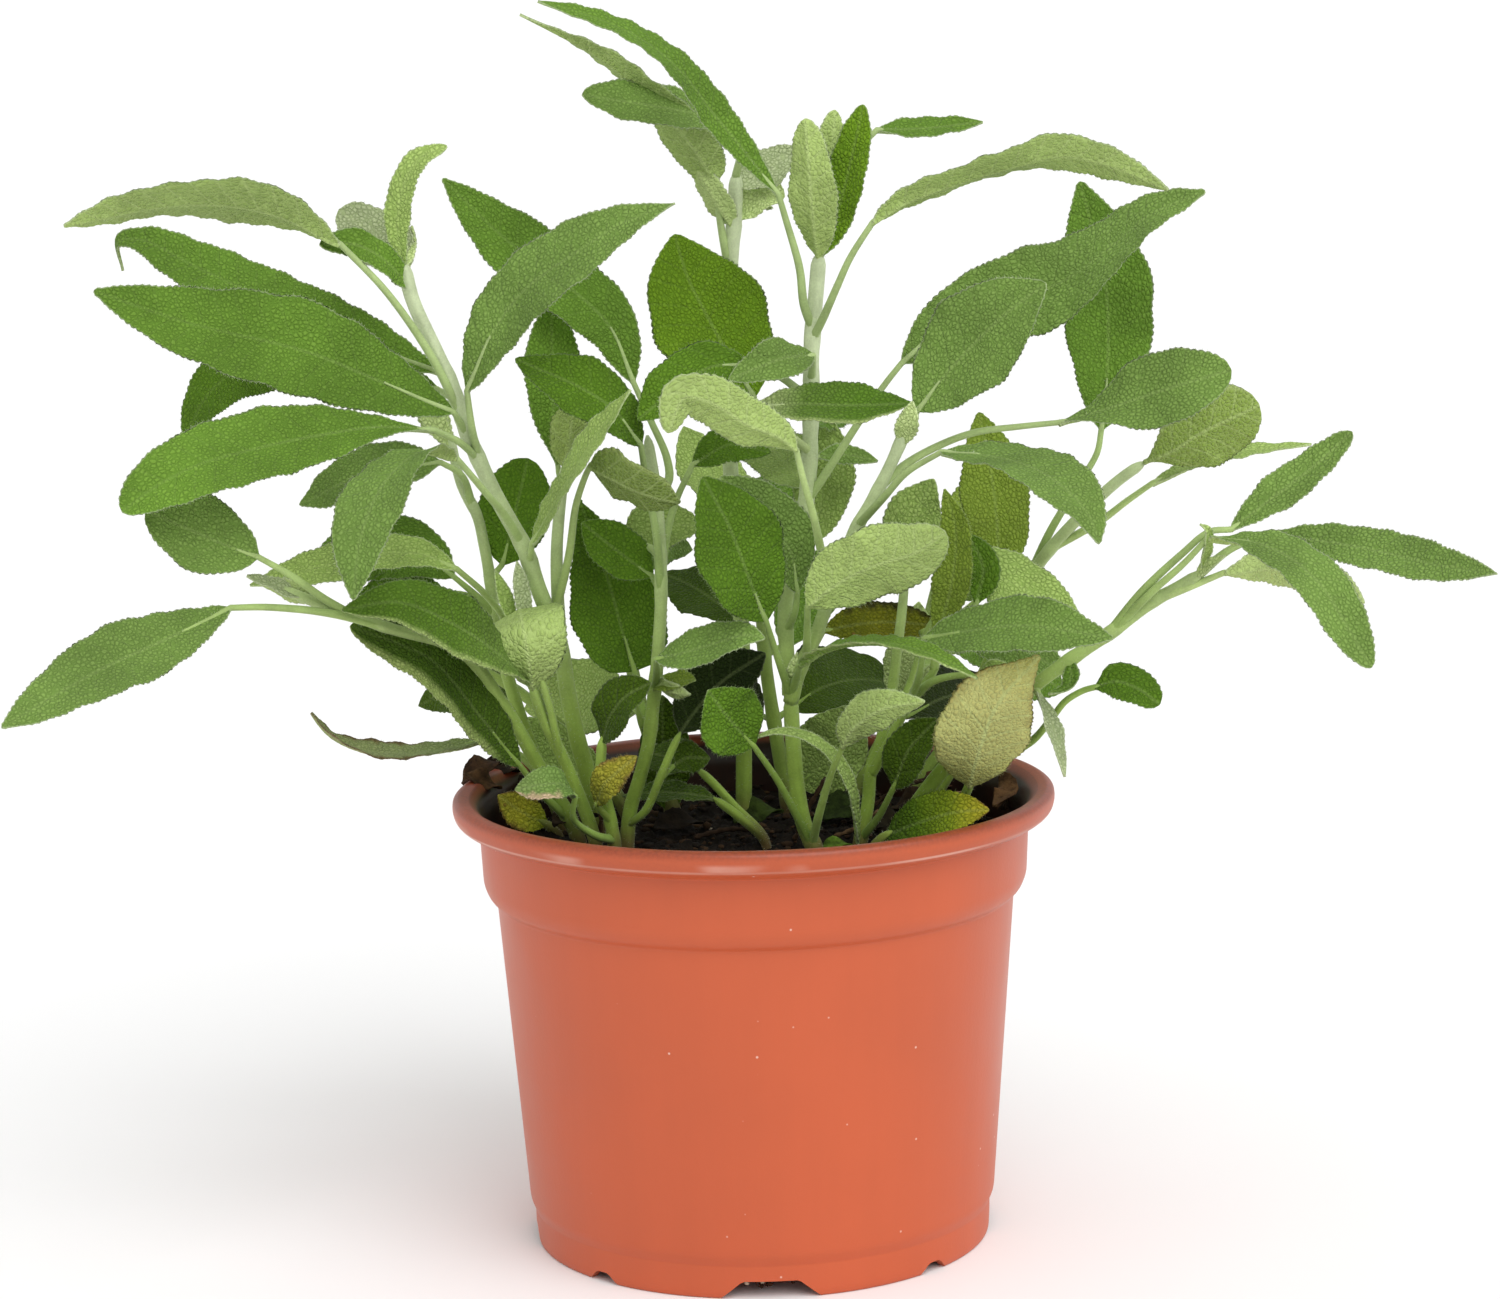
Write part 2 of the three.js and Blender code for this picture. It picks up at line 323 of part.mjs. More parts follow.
      [72, 120.9, 29], [80, 126.7, 31], [85, 129.3, 32], [90, 132.3, 33]]],
  ], [
    [[[41, 96.5, 17.5], [50, 96.5, 21], [55.5, 98.9, 23], [60, 104, 26], [62.5, 107, 28],
      [66, 109, 29], [68.3, 109.6, 30.3]], [[68.3, 109.6, 30.3], [72.2, 110.9, 32], [77, 109.2, 34],
      [81.2, 105.8, 35]], 8.4, [25, 25, 25], 'blunt'],
    [[], [[67, 109.6, 29], [63, 110, 32], [59, 108.5, 33]], 3.6, [60, 60, 60], 'broad'],
    [[[55, 109.2, 24], [56.9, 109.3, 26]], [[56.9, 109.3, 26], [59.2, 104.4, 30.5], [61, 98, 35],
      [62.2, 91.6, 37.5]], 4.2, [45, 45, 45], 'broad'],
    [[[72, 121.5, 29], [80, 128.8, 35], [86, 134, 38], [91, 138.8, 40]], [[91, 139.2, 40],
      [100, 138.4, 46], [107.6, 134.8, 51], [113.4, 129.2, 55], [117.8, 122, 58],
      [123.2, 112.2, 60]], 11, [65, 40, 25, 20], 'blunt'],
    [[], [[92.5, 138.9, 41], [90.8, 140.8, 42], [89.3, 141.8, 42]], 3, [20, 20, 20], 'broad'],
    [[[70.5, 121, 28], [78, 128.8, 33], [86, 136.2, 35], [91, 140.2, 35.5], [95.4, 140.6, 34]],
      [[95.4, 140.6, 34], [103.2, 146.6, 32], [111.2, 152.6, 30], [119.3, 159.4, 28]],
      8.3, [30, 30, 30], 'blunt'],
    [[[89, 132, 33], [95, 136.5, 32], [101, 138.8, 32]], [[101, 139, 32], [112, 138.3, 38],
      [124, 136, 47], [136, 132.8, 58], [147.9, 130.6, 69]], 9.5, [45, 35, 25], 'broad'],
    [[[80, 127, 31], [87, 129.3, 33], [94, 132, 32]], [[94, 132, 32], [103, 133.3, 31],
      [113, 130.5, 30], [121.8, 125.4, 28]], 9.5, [140, 140, 140], 'broad'],
    [[], [[88, 132.4, 33], [91, 133.8, 36], [94.3, 135.4, 37]], 2.4, [20, 20, 20], 'broad'],
  ]],
  ['right_back_stem', [
    [1.5, 1.1, [[34, 78, -20], [40, 95, -19], [46, 112, -17], [52, 125, -14], [56.6, 133.4, -10],
      [61, 139, -7], [69.5, 147.6, -3], [74, 151.4, -1], [78.5, 154.4, 1]]],
  ], [
    [[[55, 130, -11], [60, 141.5, -10], [66.6, 152, -11], [69.2, 156.6, -11], [70, 161, -12]],
      [[70, 161, -12], [71.2, 170, -13], [71.7, 180, -14], [71.2, 190, -14], [68.8, 200, -14],
      [66.2, 209.6, -14]], 18.4, [12, 12, 12], 'broad'],
    [[], [[78.5, 154.4, 1], [84.5, 157.2, 4], [90, 160.6, 6], [101, 165.4, 8]], 17, [160, 160, 160],
      'spoon'],
    [[[60, 137.6, -8], [69.5, 142.8, -6], [75, 146.8, -4], [80, 150.2, -3]], [[80, 150.2, -3],
      [87, 153.7, -6], [96, 156.2, -9], [104, 156.8, -11], [111.3, 157.2, -12]], 6.6, [65, 65, 65],
      'broad'],
  ]],
  ['yellow_leaf', [
    [1.15, 0.9, [[34, 77, 7], [37.5, 82, 11], [42, 88, 18], [43.5, 91.5, 22]]],
  ], [
    [[], [[43, 89.5, 21], [44.7, 97, 28], [49, 107.5, 33], [57.3, 116.3, 36]],
      18.4, [155, 155, 155], 'lance'],
  ]],
  ['rim_leaf', [
    [1.1, 0.9, [[23.5, 77.5, 15], [25.5, 80, 16.5], [27.5, 81.3, 18]]],
  ], [
    [[], [[26, 81, 17], [33, 83.2, 22], [40, 85, 25], [47, 85.2, 26]], 10.5, [20, 20, 20], 'broad'],
  ]],
  ['old_leaf', [
    [1.1, 0.9, [[-39, 80.5, -8], [-41, 84, -8], [-43, 85.3, -8]]],
  ], [
    [[], [[-41, 84.5, -8], [-46, 87, -7], [-51, 90.5, -7]], 8, [20, 20, 20], 'broad'],
  ]],
  ['low_front_shoot', [
    [1, 0.8, [[2.2, 79.5, 2], [-3, 85, 4], [-8, 89, 5]]],
    [0.9, 0.8, [[2.2, 80, 2], [-4, 87.3, -1], [-8, 92, -4], [-11, 95, -7]]],
  ], [
    [[], [[-8, 89, 5], [-14, 90.3, 2], [-20, 90.6, -1], [-26, 89.8, -4]], 7, [50, 50, 50], 'broad'],
    [[], [[-11, 95, -7], [-16, 97.5, -12], [-22, 99, -18]], 10, [30, 30, 30], 'broad'],
  ]],
  ['back_left_stem', [
    [1.6, 1, [[-16, 83, -26], [-20, 100, -31], [-24, 118, -38], [-27, 134, -44], [-28, 144, -48]]],
  ], [
    [[[-21, 105, -33], [-23, 107, -37]], [[-23, 107, -37], [-28, 109, -44], [-36, 110.5, -54],
      [-45, 108, -64]], 16, [20, 20, 20], 'broad'],
    [[], [[-16.8, 86, -27], [-17.4, 94, -25.5], [-17.6, 102, -24.5], [-17.6, 110, -24]],
      12, [20, 20, 20], 'broad'],
    [[[-24, 118, -38], [-25, 121, -44]], [[-25, 121, -44], [-26, 124, -55], [-27, 125, -66],
      [-28, 123, -74]], 13, [20, 20, 20], 'broad'],
    [[], [[-27, 136, -44], [-23, 139.5, -54], [-17, 141, -64], [-11, 139, -73]], 12, [20, 20, 20],
      'broad'],
    [[], [[-28, 143, -48], [-29.5, 143, -57], [-31, 141, -66], [-32, 138, -74]], 11, [20, 20, 20],
      'broad'],
  ]],
  ['back_middle_stem', [
    [1.6, 1, [[7, 84, -30], [5, 100, -35], [3, 116, -41], [2, 132, -48], [0, 146, -54]]],
  ], [
    [[[4.5, 104, -36.5], [7.4, 106.5, -41]], [[7.4, 106.5, -41], [14, 111.2, -48], [22, 113, -58],
      [31, 111, -68]], 21, [20, 20, 20], 'broad'],
    [[[6.6, 88, -31], [9, 91, -27]], [[9, 91, -27], [13, 95, -23], [17, 100, -20],
      [20.6, 107, -18]], 16.5, [20, 20, 20], 'broad'],
    [[[4.5, 104, -36.5], [2, 105.4, -42]], [[2, 105.4, -42], [-3.4, 108.4, -50], [-9, 109.6, -60],
      [-14, 108, -69]], 15.5, [20, 20, 20], 'broad'],
    [[[2.8, 120, -42], [-1.6, 124.4, -47]], [[-1.6, 124.4, -47], [-6.4, 128.8, -55],
      [-11.6, 132.4, -65], [-17, 134.6, -73]], 13.8, [20, 20, 20], 'broad'],
    [[[2.8, 118, -41.5], [6.4, 119.4, -46]], [[6.4, 119.4, -46], [10, 125, -52], [12.8, 131.6, -60],
      [14.2, 138.6, -68]], 13, [20, 20, 20], 'broad'],
    [[], [[0, 146, -54], [-4.5, 151.5, -62], [-9, 157.5, -70], [-12, 163.5, -75]], 14, [20, 20, 20],
      'broad'],
    [[], [[0, 146, -54], [5, 149, -62], [9, 152, -72]], 11, [20, 20, 20], 'broad'],
  ]],
  ['back_right_stem', [
    [1.6, 1, [[19, 84, -30], [26, 100, -36], [33, 116, -43], [37, 130, -50], [40, 142, -56]]],
  ], [
    [[[30, 104, -37.5], [31, 104.6, -39]], [[31, 104.6, -39], [39, 108.8, -50], [46.5, 109.4, -61],
      [53, 106, -71]], 16, [20, 20, 20], 'broad'],
    [[], [[28.6, 107, -39], [31, 113, -35], [33, 120, -33], [33.6, 127.6, -33]], 12, [20, 20, 20],
      'broad'],
    [[[33.7, 118.5, -44], [39, 119.8, -49]], [[39, 119.8, -49], [45, 119.6, -58], [51, 118, -67],
      [57, 114.5, -75]], 12, [20, 20, 20], 'broad'],
    [[], [[40, 142, -56], [45, 147, -63], [49, 150, -70], [51, 150, -75]], 11, [20, 20, 20],
      'broad'],
    [[], [[38, 133, -51.5], [34, 138, -60], [30, 140, -68], [26, 139, -75]], 11, [20, 20, 20],
      'broad'],
  ]],
  ['far_left_stem', [
    [1.5, 1, [[-25, 82, -25], [-33, 98, -32], [-42, 108, -42], [-50, 114, -51], [-57, 118, -58]]],
  ], [
    [[], [[-57, 116, -57], [-63, 121, -63], [-69, 127, -69], [-74, 132, -75]], 13, [20, 20, 20],
      'broad'],
    [[], [[-46, 113, -47], [-53, 113, -57], [-60, 112, -66], [-66, 109, -73]], 12, [20, 20, 20],
      'broad'],
    [[], [[-29, 90, -28.4], [-36, 96, -25], [-42, 102, -23.6], [-48, 105, -23.4]], 12, [20, 20, 20],
      'broad'],
  ]],
  ['far_right_stem', [
    [1.5, 1, [[30, 82, -27], [38, 98, -33], [46, 108, -42], [53, 115, -50], [58, 119, -56]]],
  ], [
    [[], [[58, 120, -56], [55, 126, -62], [49, 131, -69], [43, 133, -75]], 10, [20, 20, 20],
      'broad'],
    [[], [[50, 112.5, -48], [54.5, 112.8, -56], [58.5, 111.6, -64], [62, 109, -71]],
      11, [20, 20, 20], 'broad'],
  ]],
];

const COLOURS = {
  pot: 0xcb6443,
  soil: 0x2b231d,
  stem: 0x6f9148,
  shade: 0x4c7436,
  yellow_leaf: 0xb0b07a,
  rim_leaf: 0x8a9a35,
  old_leaf: 0x8c8b3a,
};

function place([across, up, near]) {
  const scale = 1 - near / VIEW_DISTANCE;
  return new THREE.Vector3(across * scale, -near, VIEW_HEIGHT + (up - VIEW_HEIGHT) * scale);
}

// Rings of points joined into one closed skin, with a flat cap at each end
function skin(rings) {
  const sides = rings[0].length;
  const faces = [];
  for (let ring = 0; ring + 1 < rings.length; ring++) {
    for (let side = 0; side < sides; side++) {
      const a = ring * sides + side;
      const b = ring * sides + (side + 1) % sides;
      faces.push([a, b, b + sides], [a, b + sides, a + sides]);
    }
  }
  const last = (rings.length - 1) * sides;
  for (let side = 1; side + 1 < sides; side++) {
    faces.push([0, side + 1, side], [last, last + side, last + side + 1]);
  }
  return solid(rings.flat(), faces);
}

// A closed solid that faces outwards, whichever way its triangles were listed
function solid(points, faces) {
  let volume = 0;
  for (const [a, b, c] of faces) {
    volume += points[a].dot(new THREE.Vector3().crossVectors(points[b], points[c]));
  }
  const listed = volume < 0 ? faces.map(([a, b, c]) => [a, c, b]) : faces;
  return new wasm.Manifold(new wasm.Mesh({
    numProp: 3,
    vertProperties: new Float32Array(points.flatMap((point) => point.toArray())),
    triVerts: new Uint32Array(listed.flat()),
  }));
}

// A profile of [radius, height] that starts and ends on the axis, turned about Z
function turned(profile, sides) {
  const points = [];
  const rings = profile.map(([radius, height]) => {
    const ring = [];
    for (let side = 0; side < (radius > 0 ? sides : 1); side++) {
      const angle = side / sides * 2 * Math.PI;
      ring.push(points.length);
      points.push(new THREE.Vector3(radius * Math.cos(angle), radius * Math.sin(angle), height));
    }
    return ring;
  });
  const faces = [];
  for (let ring = 0; ring + 1 < rings.length; ring++) {
    const low = rings[ring];
    const high = rings[ring + 1];
    for (let side = 0; side < sides; side++) {
      const next = (side + 1) % sides;
      if (low.length > 1) {
        faces.push([low[side], low[next], high[side % high.length]]);
      }
      if (high.length > 1) {
        faces.push([low[next % low.length], high[next], high[side]]);
      }
    }
  }
  return solid(points, faces);
}

// An upright prism on a flat outline, with its top widened by a factor
function prism(outline, bottom, top, widen = 1) {
  const middle = outline.reduce((sum, [x, y]) => [sum[0] + x, sum[1] + y], [0, 0])
    .map((sum) => sum / outline.length);
  return skin([[bottom, 1], [top, widen]].map(([height, factor]) => outline.map(([x, y]) =>
    new THREE.Vector3(
      middle[0] + (x - middle[0]) * factor,
      middle[1] + (y - middle[1]) * factor,
      height,
    ))));
}

function oval(x, y, along, across, turn, sides) {
  const outline = [];
  for (let side = 0; side < sides; side++) {
    const angle = side / sides * 2 * Math.PI;
    const u = along / 2 * Math.cos(angle);
    const v = across / 2 * Math.sin(angle);
    outline.push([
      x + u * Math.cos(turn) - v * Math.sin(turn),
      y + u * Math.sin(turn) + v * Math.cos(turn),
    ]);
  }
  return outline;
}

function makePot() {
  const cuts = [];
  for (let gap = 0; gap < GAP_COUNT; gap++) {
    const turn = THREE.MathUtils.degToRad(FIRST_GAP + gap * 360 / GAP_COUNT);
    const out = new THREE.Vector3(Math.cos(turn), Math.sin(turn), 0);
    const side = new THREE.Vector3(-out.y, out.x, 0);
    const [below, above, tall] = gap % 2 === 0 ? WIDE_GAP : NARROW_GAP;
    const section = (radius) => [
      [-below / 2 - 1, -1], [below / 2 + 1, -1], [above / 2, tall], [-above / 2, tall],
    ].map(([across, height]) => out.clone().multiplyScalar(radius)
      .addScaledVector(side, across).setZ(height));
    cuts.push(skin([section(38), section(52)]));
    const hole = oval(out.x * DRAIN_RADIUS, out.y * DRAIN_RADIUS,
      DRAIN_WIDE, DRAIN_LONG, turn, DRAIN_SIDES);
    cuts.push(prism(hole, FLOOR_UNDER - 1, FLOOR_TOP + 1));
  }
  return turned([...POT_OUTSIDE, ...POT_INSIDE], POT_SIDES)
    .subtract(wasm.Manifold.union(cuts));
}

// Low uneven lumps on top of the soil
function lump(x, y) {
  return SOIL_LUMPS * (Math.sin(x * 0.31 + y * 0.17) + Math.sin(y * 0.37 - x * 0.12 + 1.3)
    + 0.6 * Math.sin(x * 0.71 + 2.1) * Math.sin(y * 0.66));
}

function makeSoil(holes) {
  const inside = POT_INSIDE.filter(([radius, height]) => radius > 0 && height < SOIL_TOP)
    .map(([radius, height]) => [radius - SOIL_CLEARANCE, height]).reverse();
  inside[0][1] = FLOOR_TOP + SOIL_CLEARANCE;
  const rim = SOIL_RINGS[SOIL_RINGS.length - 1];
  const side = [[0, inside[0][1]], ...inside, [rim, SOIL_TOP]];
  const top = SOIL_RINGS.slice(0, -1).reverse().map((radius) => [radius, SOIL_TOP]);
  const body = turned([...side, ...top, [0, SOIL_TOP]], SOIL_SIDES)
    .warp((point) => {
      if (point[2] > SOIL_TOP - 0.01 && Math.hypot(point[0], point[1]) < rim - 0.01) {
        point[2] += lump(point[0], point[1]);
      }
    });
  return body.subtract(wasm.Manifold.union(holes));
}

function spaced(points, step, least) {
  const curve = new THREE.CatmullRomCurve3(points, false, 'centripetal');
  return curve.getSpacedPoints(Math.max(least, Math.round(curve.getLength() / step)));
}

function tangents(points) {
  return points.map((point, i) => points[Math.min(i + 1, points.length - 1)].clone()
    .sub(points[Math.max(i - 1, 0)]).normalize());
}

// The part of a direction that is square to another, as a unit vector
function square(direction, to) {
  return direction.clone().addScaledVector(to, -direction.dot(to)).normalize();
}

function rod(points, baseRadius, tipRadius, sides) {
  const along = tangents(points);
  let out = square(new THREE.Vector3(0.3, -1, 0.1), along[0]);
  return skin(points.map((point, i) => {
    out = square(out, along[i]);
    const side = new THREE.Vector3().crossVectors(along[i], out);
    const radius = THREE.MathUtils.lerp(baseRadius, tipRadius, i / (points.length - 1));
    const ring = [];
    for (let k = 0; k < sides; k++) {
      const angle = (k + 0.5) / sides * 2 * Math.PI;
      ring.push(point.clone().addScaledVector(out, radius * Math.cos(angle))
        .addScaledVector(side, radius * Math.sin(angle)));
    }
    return ring;
  }));
}

// Upper side of a blade at each point of its midrib: faces the viewer, turned by the roll
function upperSides(points, along, rolls) {
  const eye = new THREE.Vector3(0, -VIEW_DISTANCE, VIEW_HEIGHT);
  const toEye = points.map((point) => eye.clone().sub(point).normalize());
  let start = 0;
  for (let i = 1; i < points.length; i++) {
    if (Math.abs(along[i].dot(toEye[i])) < Math.abs(along[start].dot(toEye[start]))) {
      start = i;
    }
  }
  const facing = [];
  facing[start] = square(toEye[start], along[start]);
  for (let i = start + 1; i < points.length; i++) {
    facing[i] = square(facing[i - 1], along[i]);
  }
  for (let i = start - 1; i >= 0; i--) {
    facing[i] = square(facing[i + 1], along[i]);
  }
  const lifted = along.map((way, i) => new THREE.Vector3().crossVectors(way, facing[i]));
  const sign = lifted.reduce((sum, way) => sum + way.z, 0) < 0 ? -1 : 1;
  return facing.map((way, i) => {
    const at = i / (points.length - 1) * (rolls.length - 1);
    const low = Math.min(Math.floor(at), rolls.length - 2);
    const roll = THREE.MathUtils.degToRad(
      THREE.MathUtils.lerp(rolls[low], rolls[low + 1], at - low));
    return way.clone().multiplyScalar(Math.cos(roll))
      .addScaledVector(lifted[i], sign * Math.sin(roll));
  });
}

function halfWidth(at, width, form) {
  const [widest, base, tip] = FORMS[form];
  const bluntness = base + (tip - base) * at;
  return Math.max(BLADE_END,
    width / 2 * Math.sin(Math.PI * THREE.MathUtils.clamp(at, 0, 1) ** widest) ** bluntness);
}

// One ring of corners: both edges and the midrib, on the upper face and then on the lower
function bladeRing(point, across, upper, half, lifts) {
  const [left, right] = [1, -1].map((side, k) => point.clone()
    .addScaledVector(across, side * half).addScaledVector(upper, lifts[k]));
  const raised = (way) => (corner) => corner.clone().addScaledVector(upper, way);
  return [
    ...[left, point, right].map(raised(BLADE_THICK / 2)),
    ...[right, point, left].map(raised(-BLADE_THICK / 2)),
  ];
}

function stalkRing(point, across, upper, radius) {
  return [30, 90, 150, 210, 270, 330].map((degrees) => {
    const angle = THREE.MathUtils.degToRad(degrees);
    return point.clone().addScaledVector(across, radius * Math.cos(angle))
      .addScaledVector(upper, radius * Math.sin(angle));
  });
}

// A leaf in one closed skin: its stalk opens into a thin blade that is folded and waved
function makeLeaf(stalk, points, width, rolls, form, phase) {
  const along = tangents(points);
  const upper = upperSides(points, along, rolls);
  const rings = points.map((point, i) => {
    const at = i / (points.length - 1);
    const half = halfWidth(at, width, form);
    const across = new THREE.Vector3().crossVectors(along[i], upper[i]);
    const lifts = [1, -1].map((side) => half * (BLADE_CUP
      + BLADE_WAVE * Math.sin(2 * Math.PI * (WAVES * at + phase + side * 0.2))));
    const middle = point.clone().addScaledVector(upper[i], -BLADE_SINK * BLADE_CUP * half);
    return bladeRing(middle, across, upper[i], half, lifts);
  });
  const way = tangents([...stalk, points[0]]);
  let out = upper[0];
  for (let i = stalk.length - 1; i >= 0; i--) {
    out = square(out, way[i]);
    const across = new THREE.Vector3().crossVectors(way[i], out);
    const radius = THREE.MathUtils.lerp(STALK_BASE, STALK_END, i / stalk.length);
    rings.unshift(stalkRing(stalk[i], across, out, radius));
  }
  return skin(rings);
}

function nearest(point, line) {
  return line.reduce((best, other) =>
    (other.distanceTo(point) < best.distanceTo(point) ? other : best));
}

// Body of one leafy stem, and the holes that its roots take in the soil
function makeStem(axes, leaves) {
  const bodies = [];
  const holes = [];
  const line = [];
  for (const [base, tip, listed] of axes) {
    const points = listed.map(place);
    const rooted = points[0].z < SOIL_TOP + 5;
    if (rooted) {
      points[0].z = Math.max(points[0].z, SOIL_TOP + 0.6);
      points.unshift(points[0].clone().setZ(SOIL_TOP - ROOT_DEPTH));
      const { x, y } = points[0];
      const width = 2 * (base + HOLE_CLEARANCE) / Math.cos(Math.PI / HOLE_SIDES);
      holes.push(prism(oval(x, y, width, width, 0, HOLE_SIDES),
        SOIL_TOP - ROOT_DEPTH - ROOT_SEAT, SOIL_TOP + 4, 1 + HOLE_FLARE / base));
    }
    const foot = rooted ? [points.shift()] : [];
    const run = [...foot, ...spaced(points, STEM_STEP, 3)];
    bodies.push(rod(run, base, tip, STEM_SIDES));
    line.push(...spaced(points, 1, 3));
  }
  leaves.forEach(([stalk, listed, width, rolls, form], i) => {
    const midrib = listed.map(place);
    const stem = stalk.map(place);
    const first = stem.length ? stem : midrib;
    first[0] = nearest(first[0], line).clone();
    const grown = stem.length ? [...stem.slice(0, -1), midrib[0]] : [];
    const path = grown.length ? spaced(grown, STALK_STEP, 1).slice(0, -1) : [];
    const points = spaced(midrib, BLADE_STEP, 3);
    bodies.push(makeLeaf(path, points, width, rolls, form, i * 0.37 % 1));
  });
  const body = wasm.Manifold.union(bodies);
  return { body, holes };
}

function mesh(name, body, colour, roughness) {
  const { numProp, vertProperties, triVerts } = body.getMesh();
  const corners = [];
  for (const vertex of triVerts) {
    corners.push(...vertProperties.slice(vertex * numProp, vertex * numProp + 3));
  }
  const geometry = new THREE.BufferGeometry();
  geometry.setAttribute('position', new THREE.Float32BufferAttribute(corners, 3));
  geometry.computeVertexNormals();
  const material = new THREE.MeshStandardMaterial({ color: colour, roughness, metalness: 0 });
  const node = new THREE.Mesh(geometry, material);
  node.name = name;
  return node;
}

const group = new THREE.Group();
group.name = 'potted_sage';
group.add(mesh('pot', makePot(), COLOURS.pot, 0.45));
const holes = [];
for (const [name, axes, leaves] of PLANT) {
  const made = makeStem(axes, leaves);
  const colour = COLOURS[name] ?? (/^(back|far)/.test(name) ? COLOURS.shade : COLOURS.stem);
  holes.push(...made.holes);
  group.add(mesh(name, made.body, colour, 0.8));
}
group.add(mesh('soil', makeSoil(holes), COLOURS.soil, 1));

export default group;
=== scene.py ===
"""Potted sage: the looks of the pot, its soil and its leafy stems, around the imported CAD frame."""
import math

import bmesh
import bpy
import numpy as np
from mathutils import Matrix, Vector


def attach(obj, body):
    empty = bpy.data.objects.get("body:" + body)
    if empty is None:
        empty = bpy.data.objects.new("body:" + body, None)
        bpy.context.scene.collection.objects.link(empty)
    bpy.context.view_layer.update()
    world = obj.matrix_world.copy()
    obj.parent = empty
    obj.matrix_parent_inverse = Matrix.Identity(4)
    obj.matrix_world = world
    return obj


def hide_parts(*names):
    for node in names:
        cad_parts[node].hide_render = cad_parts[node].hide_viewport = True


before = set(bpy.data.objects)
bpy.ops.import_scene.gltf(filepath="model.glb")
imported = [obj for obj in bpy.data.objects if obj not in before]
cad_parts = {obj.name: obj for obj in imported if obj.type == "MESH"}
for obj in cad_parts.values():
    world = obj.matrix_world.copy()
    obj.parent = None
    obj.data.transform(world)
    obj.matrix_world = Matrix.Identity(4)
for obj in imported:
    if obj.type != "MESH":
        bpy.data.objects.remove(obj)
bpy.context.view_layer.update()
rng = np.random.default_rng(7)

# Sizes are in millimetres, and meshes are scaled to metres when they are made. Lengths inside a
# material are in metres.
MM = 0.001

# The photograph's camera: distance and height, lens, pitch down and roll
VIEW_DISTANCE = 787
VIEW_HEIGHT = 254
LENS = 96.68
SENSOR = 36
PITCH_DOWN = 9.747
ROLL = 1.33

# Studio: brightness overhead and at the horizon, a broad light from the front right, and how far
# the floor reaches in metres
SKY = 0.8
HORIZON = 1.05
LIGHT_FROM = (0.45, -0.78, 0.95)
LIGHT_SPREAD = 55
LIGHT_STRENGTH = 1.75
FLOOR_REACH = 40.0

# Pot
POT_HEIGHT = 91.0
FLOOR_UNDER = 5.0
FLOOR_TOP = 6.5
POT_SIDES = 180
POT_SHARP = 38

# Foot: gaps as [width at the foot, width above, height], an oval drain hole behind each
GAP_COUNT = 8
FIRST_GAP = -88.5
WIDE_GAP = (19.6, 11, 3.6)
NARROW_GAP = (7.6, 3, 2.1)
GAP_FROM = 38
GAP_TO = 52
GAP_CORNER = 0.4
DRAIN_RADIUS = 37.5
DRAIN_LONG = 9
DRAIN_WIDE = 6
DRAIN_SIDES = 24

# Outline of the pot as [radius, height, rounding of the corner], from the foot to the rim
POT_PROFILE = [
    (0, FLOOR_UNDER, 0), (43.5, FLOOR_UNDER, 0.4), (43.9, 0, 0.2), (45.55, 0, 0.5),
    (45.9, 1.2, 0.8), (45.95, 6.6, 0.3), (46.9, 8.8, 0.8), (51.65, 70.1, 0.5), (53.2, 71.3, 1.2),
    (54.2, 73.6, 1.4), (54.75, 84.8, 0.5), (57.2, 85.3, 1.0), (59.5, 86.8, 1.2),
    (60.0, 88.8, 0.8), (59.8, 90.4, 0.6), (58.6, POT_HEIGHT, 0.8), (56.6, 90.7, 0.8),
    (54.5, 88.6, 1.0), (53.5, 85.6, 1.0), (53.2, 74.9, 1.5), (50.6, 70.7, 1.5),
    (45.0, FLOOR_TOP, 1.2), (0, FLOOR_TOP, 0),
]

# Soil, with the part of its outline that lies against the pot
SOIL_TOP = 79.2
SOIL_RADIUS = 52.4
SOIL_LUMPS = 0.5
SOIL_CRUMBLE = 0.75
SOIL_RINGS = 110
SOIL_SECTORS = 260
SOIL_SIDE = [
    (40, FLOOR_TOP + 0.5), (44.4, FLOOR_TOP + 0.5), (46.6, 30), (49.4, 66), (51.7, 73),
    (SOIL_RADIUS, 76.5),
]
CRUMBS = 1500
WHITE_SHARE = 0.035

# Leaves
BLADE_THICK = 0.42
BLADE_CUP = 0.16
BLADE_WAVE = 0.1
BLADE_SINK = 0.8
BLADE_CURL = 0.22
BLADE_RIPPLE = 0.035
WAVES = 1.6
TOOTH_PITCH = 1.25
TOOTH_DEPTH = 0.38
TIP_RADIUS = 0.085
FRONT_STEP = 0.43
BACK_STEP = 0.8

# Veins: their spacing, slant and bend, and how deep they, the midrib and the quilting go
VEIN_PITCH = 4.4
VEIN_SLANT = 0.85
VEIN_BEND = 0.03
VEIN_DEPTH = 0.13
MIDRIB_DEPTH = 0.24
QUILT = 0.05

# Stalks and stems, with the hairs of each by millimetre of its length
STALK_BASE = 0.95
STALK_END = 0.6
STALK_SIDES = 8
STALK_GROOVE = 0.22
STEM_SIDES = 16
STEM_SQUARE = 0.09
STEM_STEP = 1.2
JOINT_SWELL = 0.12
STEM_FRONT = np.array([0.3, -1, 0.1])
ROOT_DEPTH = 7
STALK_FUZZ = 2.2
STEM_FUZZ = 5

# Hairs on the margins of leaves, and on stalks and stems: shortest and longest, and their radius
MARGIN_HAIR = (0.3, 0.65)
MARGIN_HAIR_RADIUS = 0.035
FUZZ_HAIR = (0.35, 0.8)
FUZZ_HAIR_RADIUS = 0.03

# Steps along the scraps and twigs of the litter, and the sides of a twig
SCRAP_STEP = 0.6
TWIG_STEP = 0.9
TWIG_SIDES = 6

# Points on each span of a curve before it is cut into even steps
CURVE_POINTS = 16

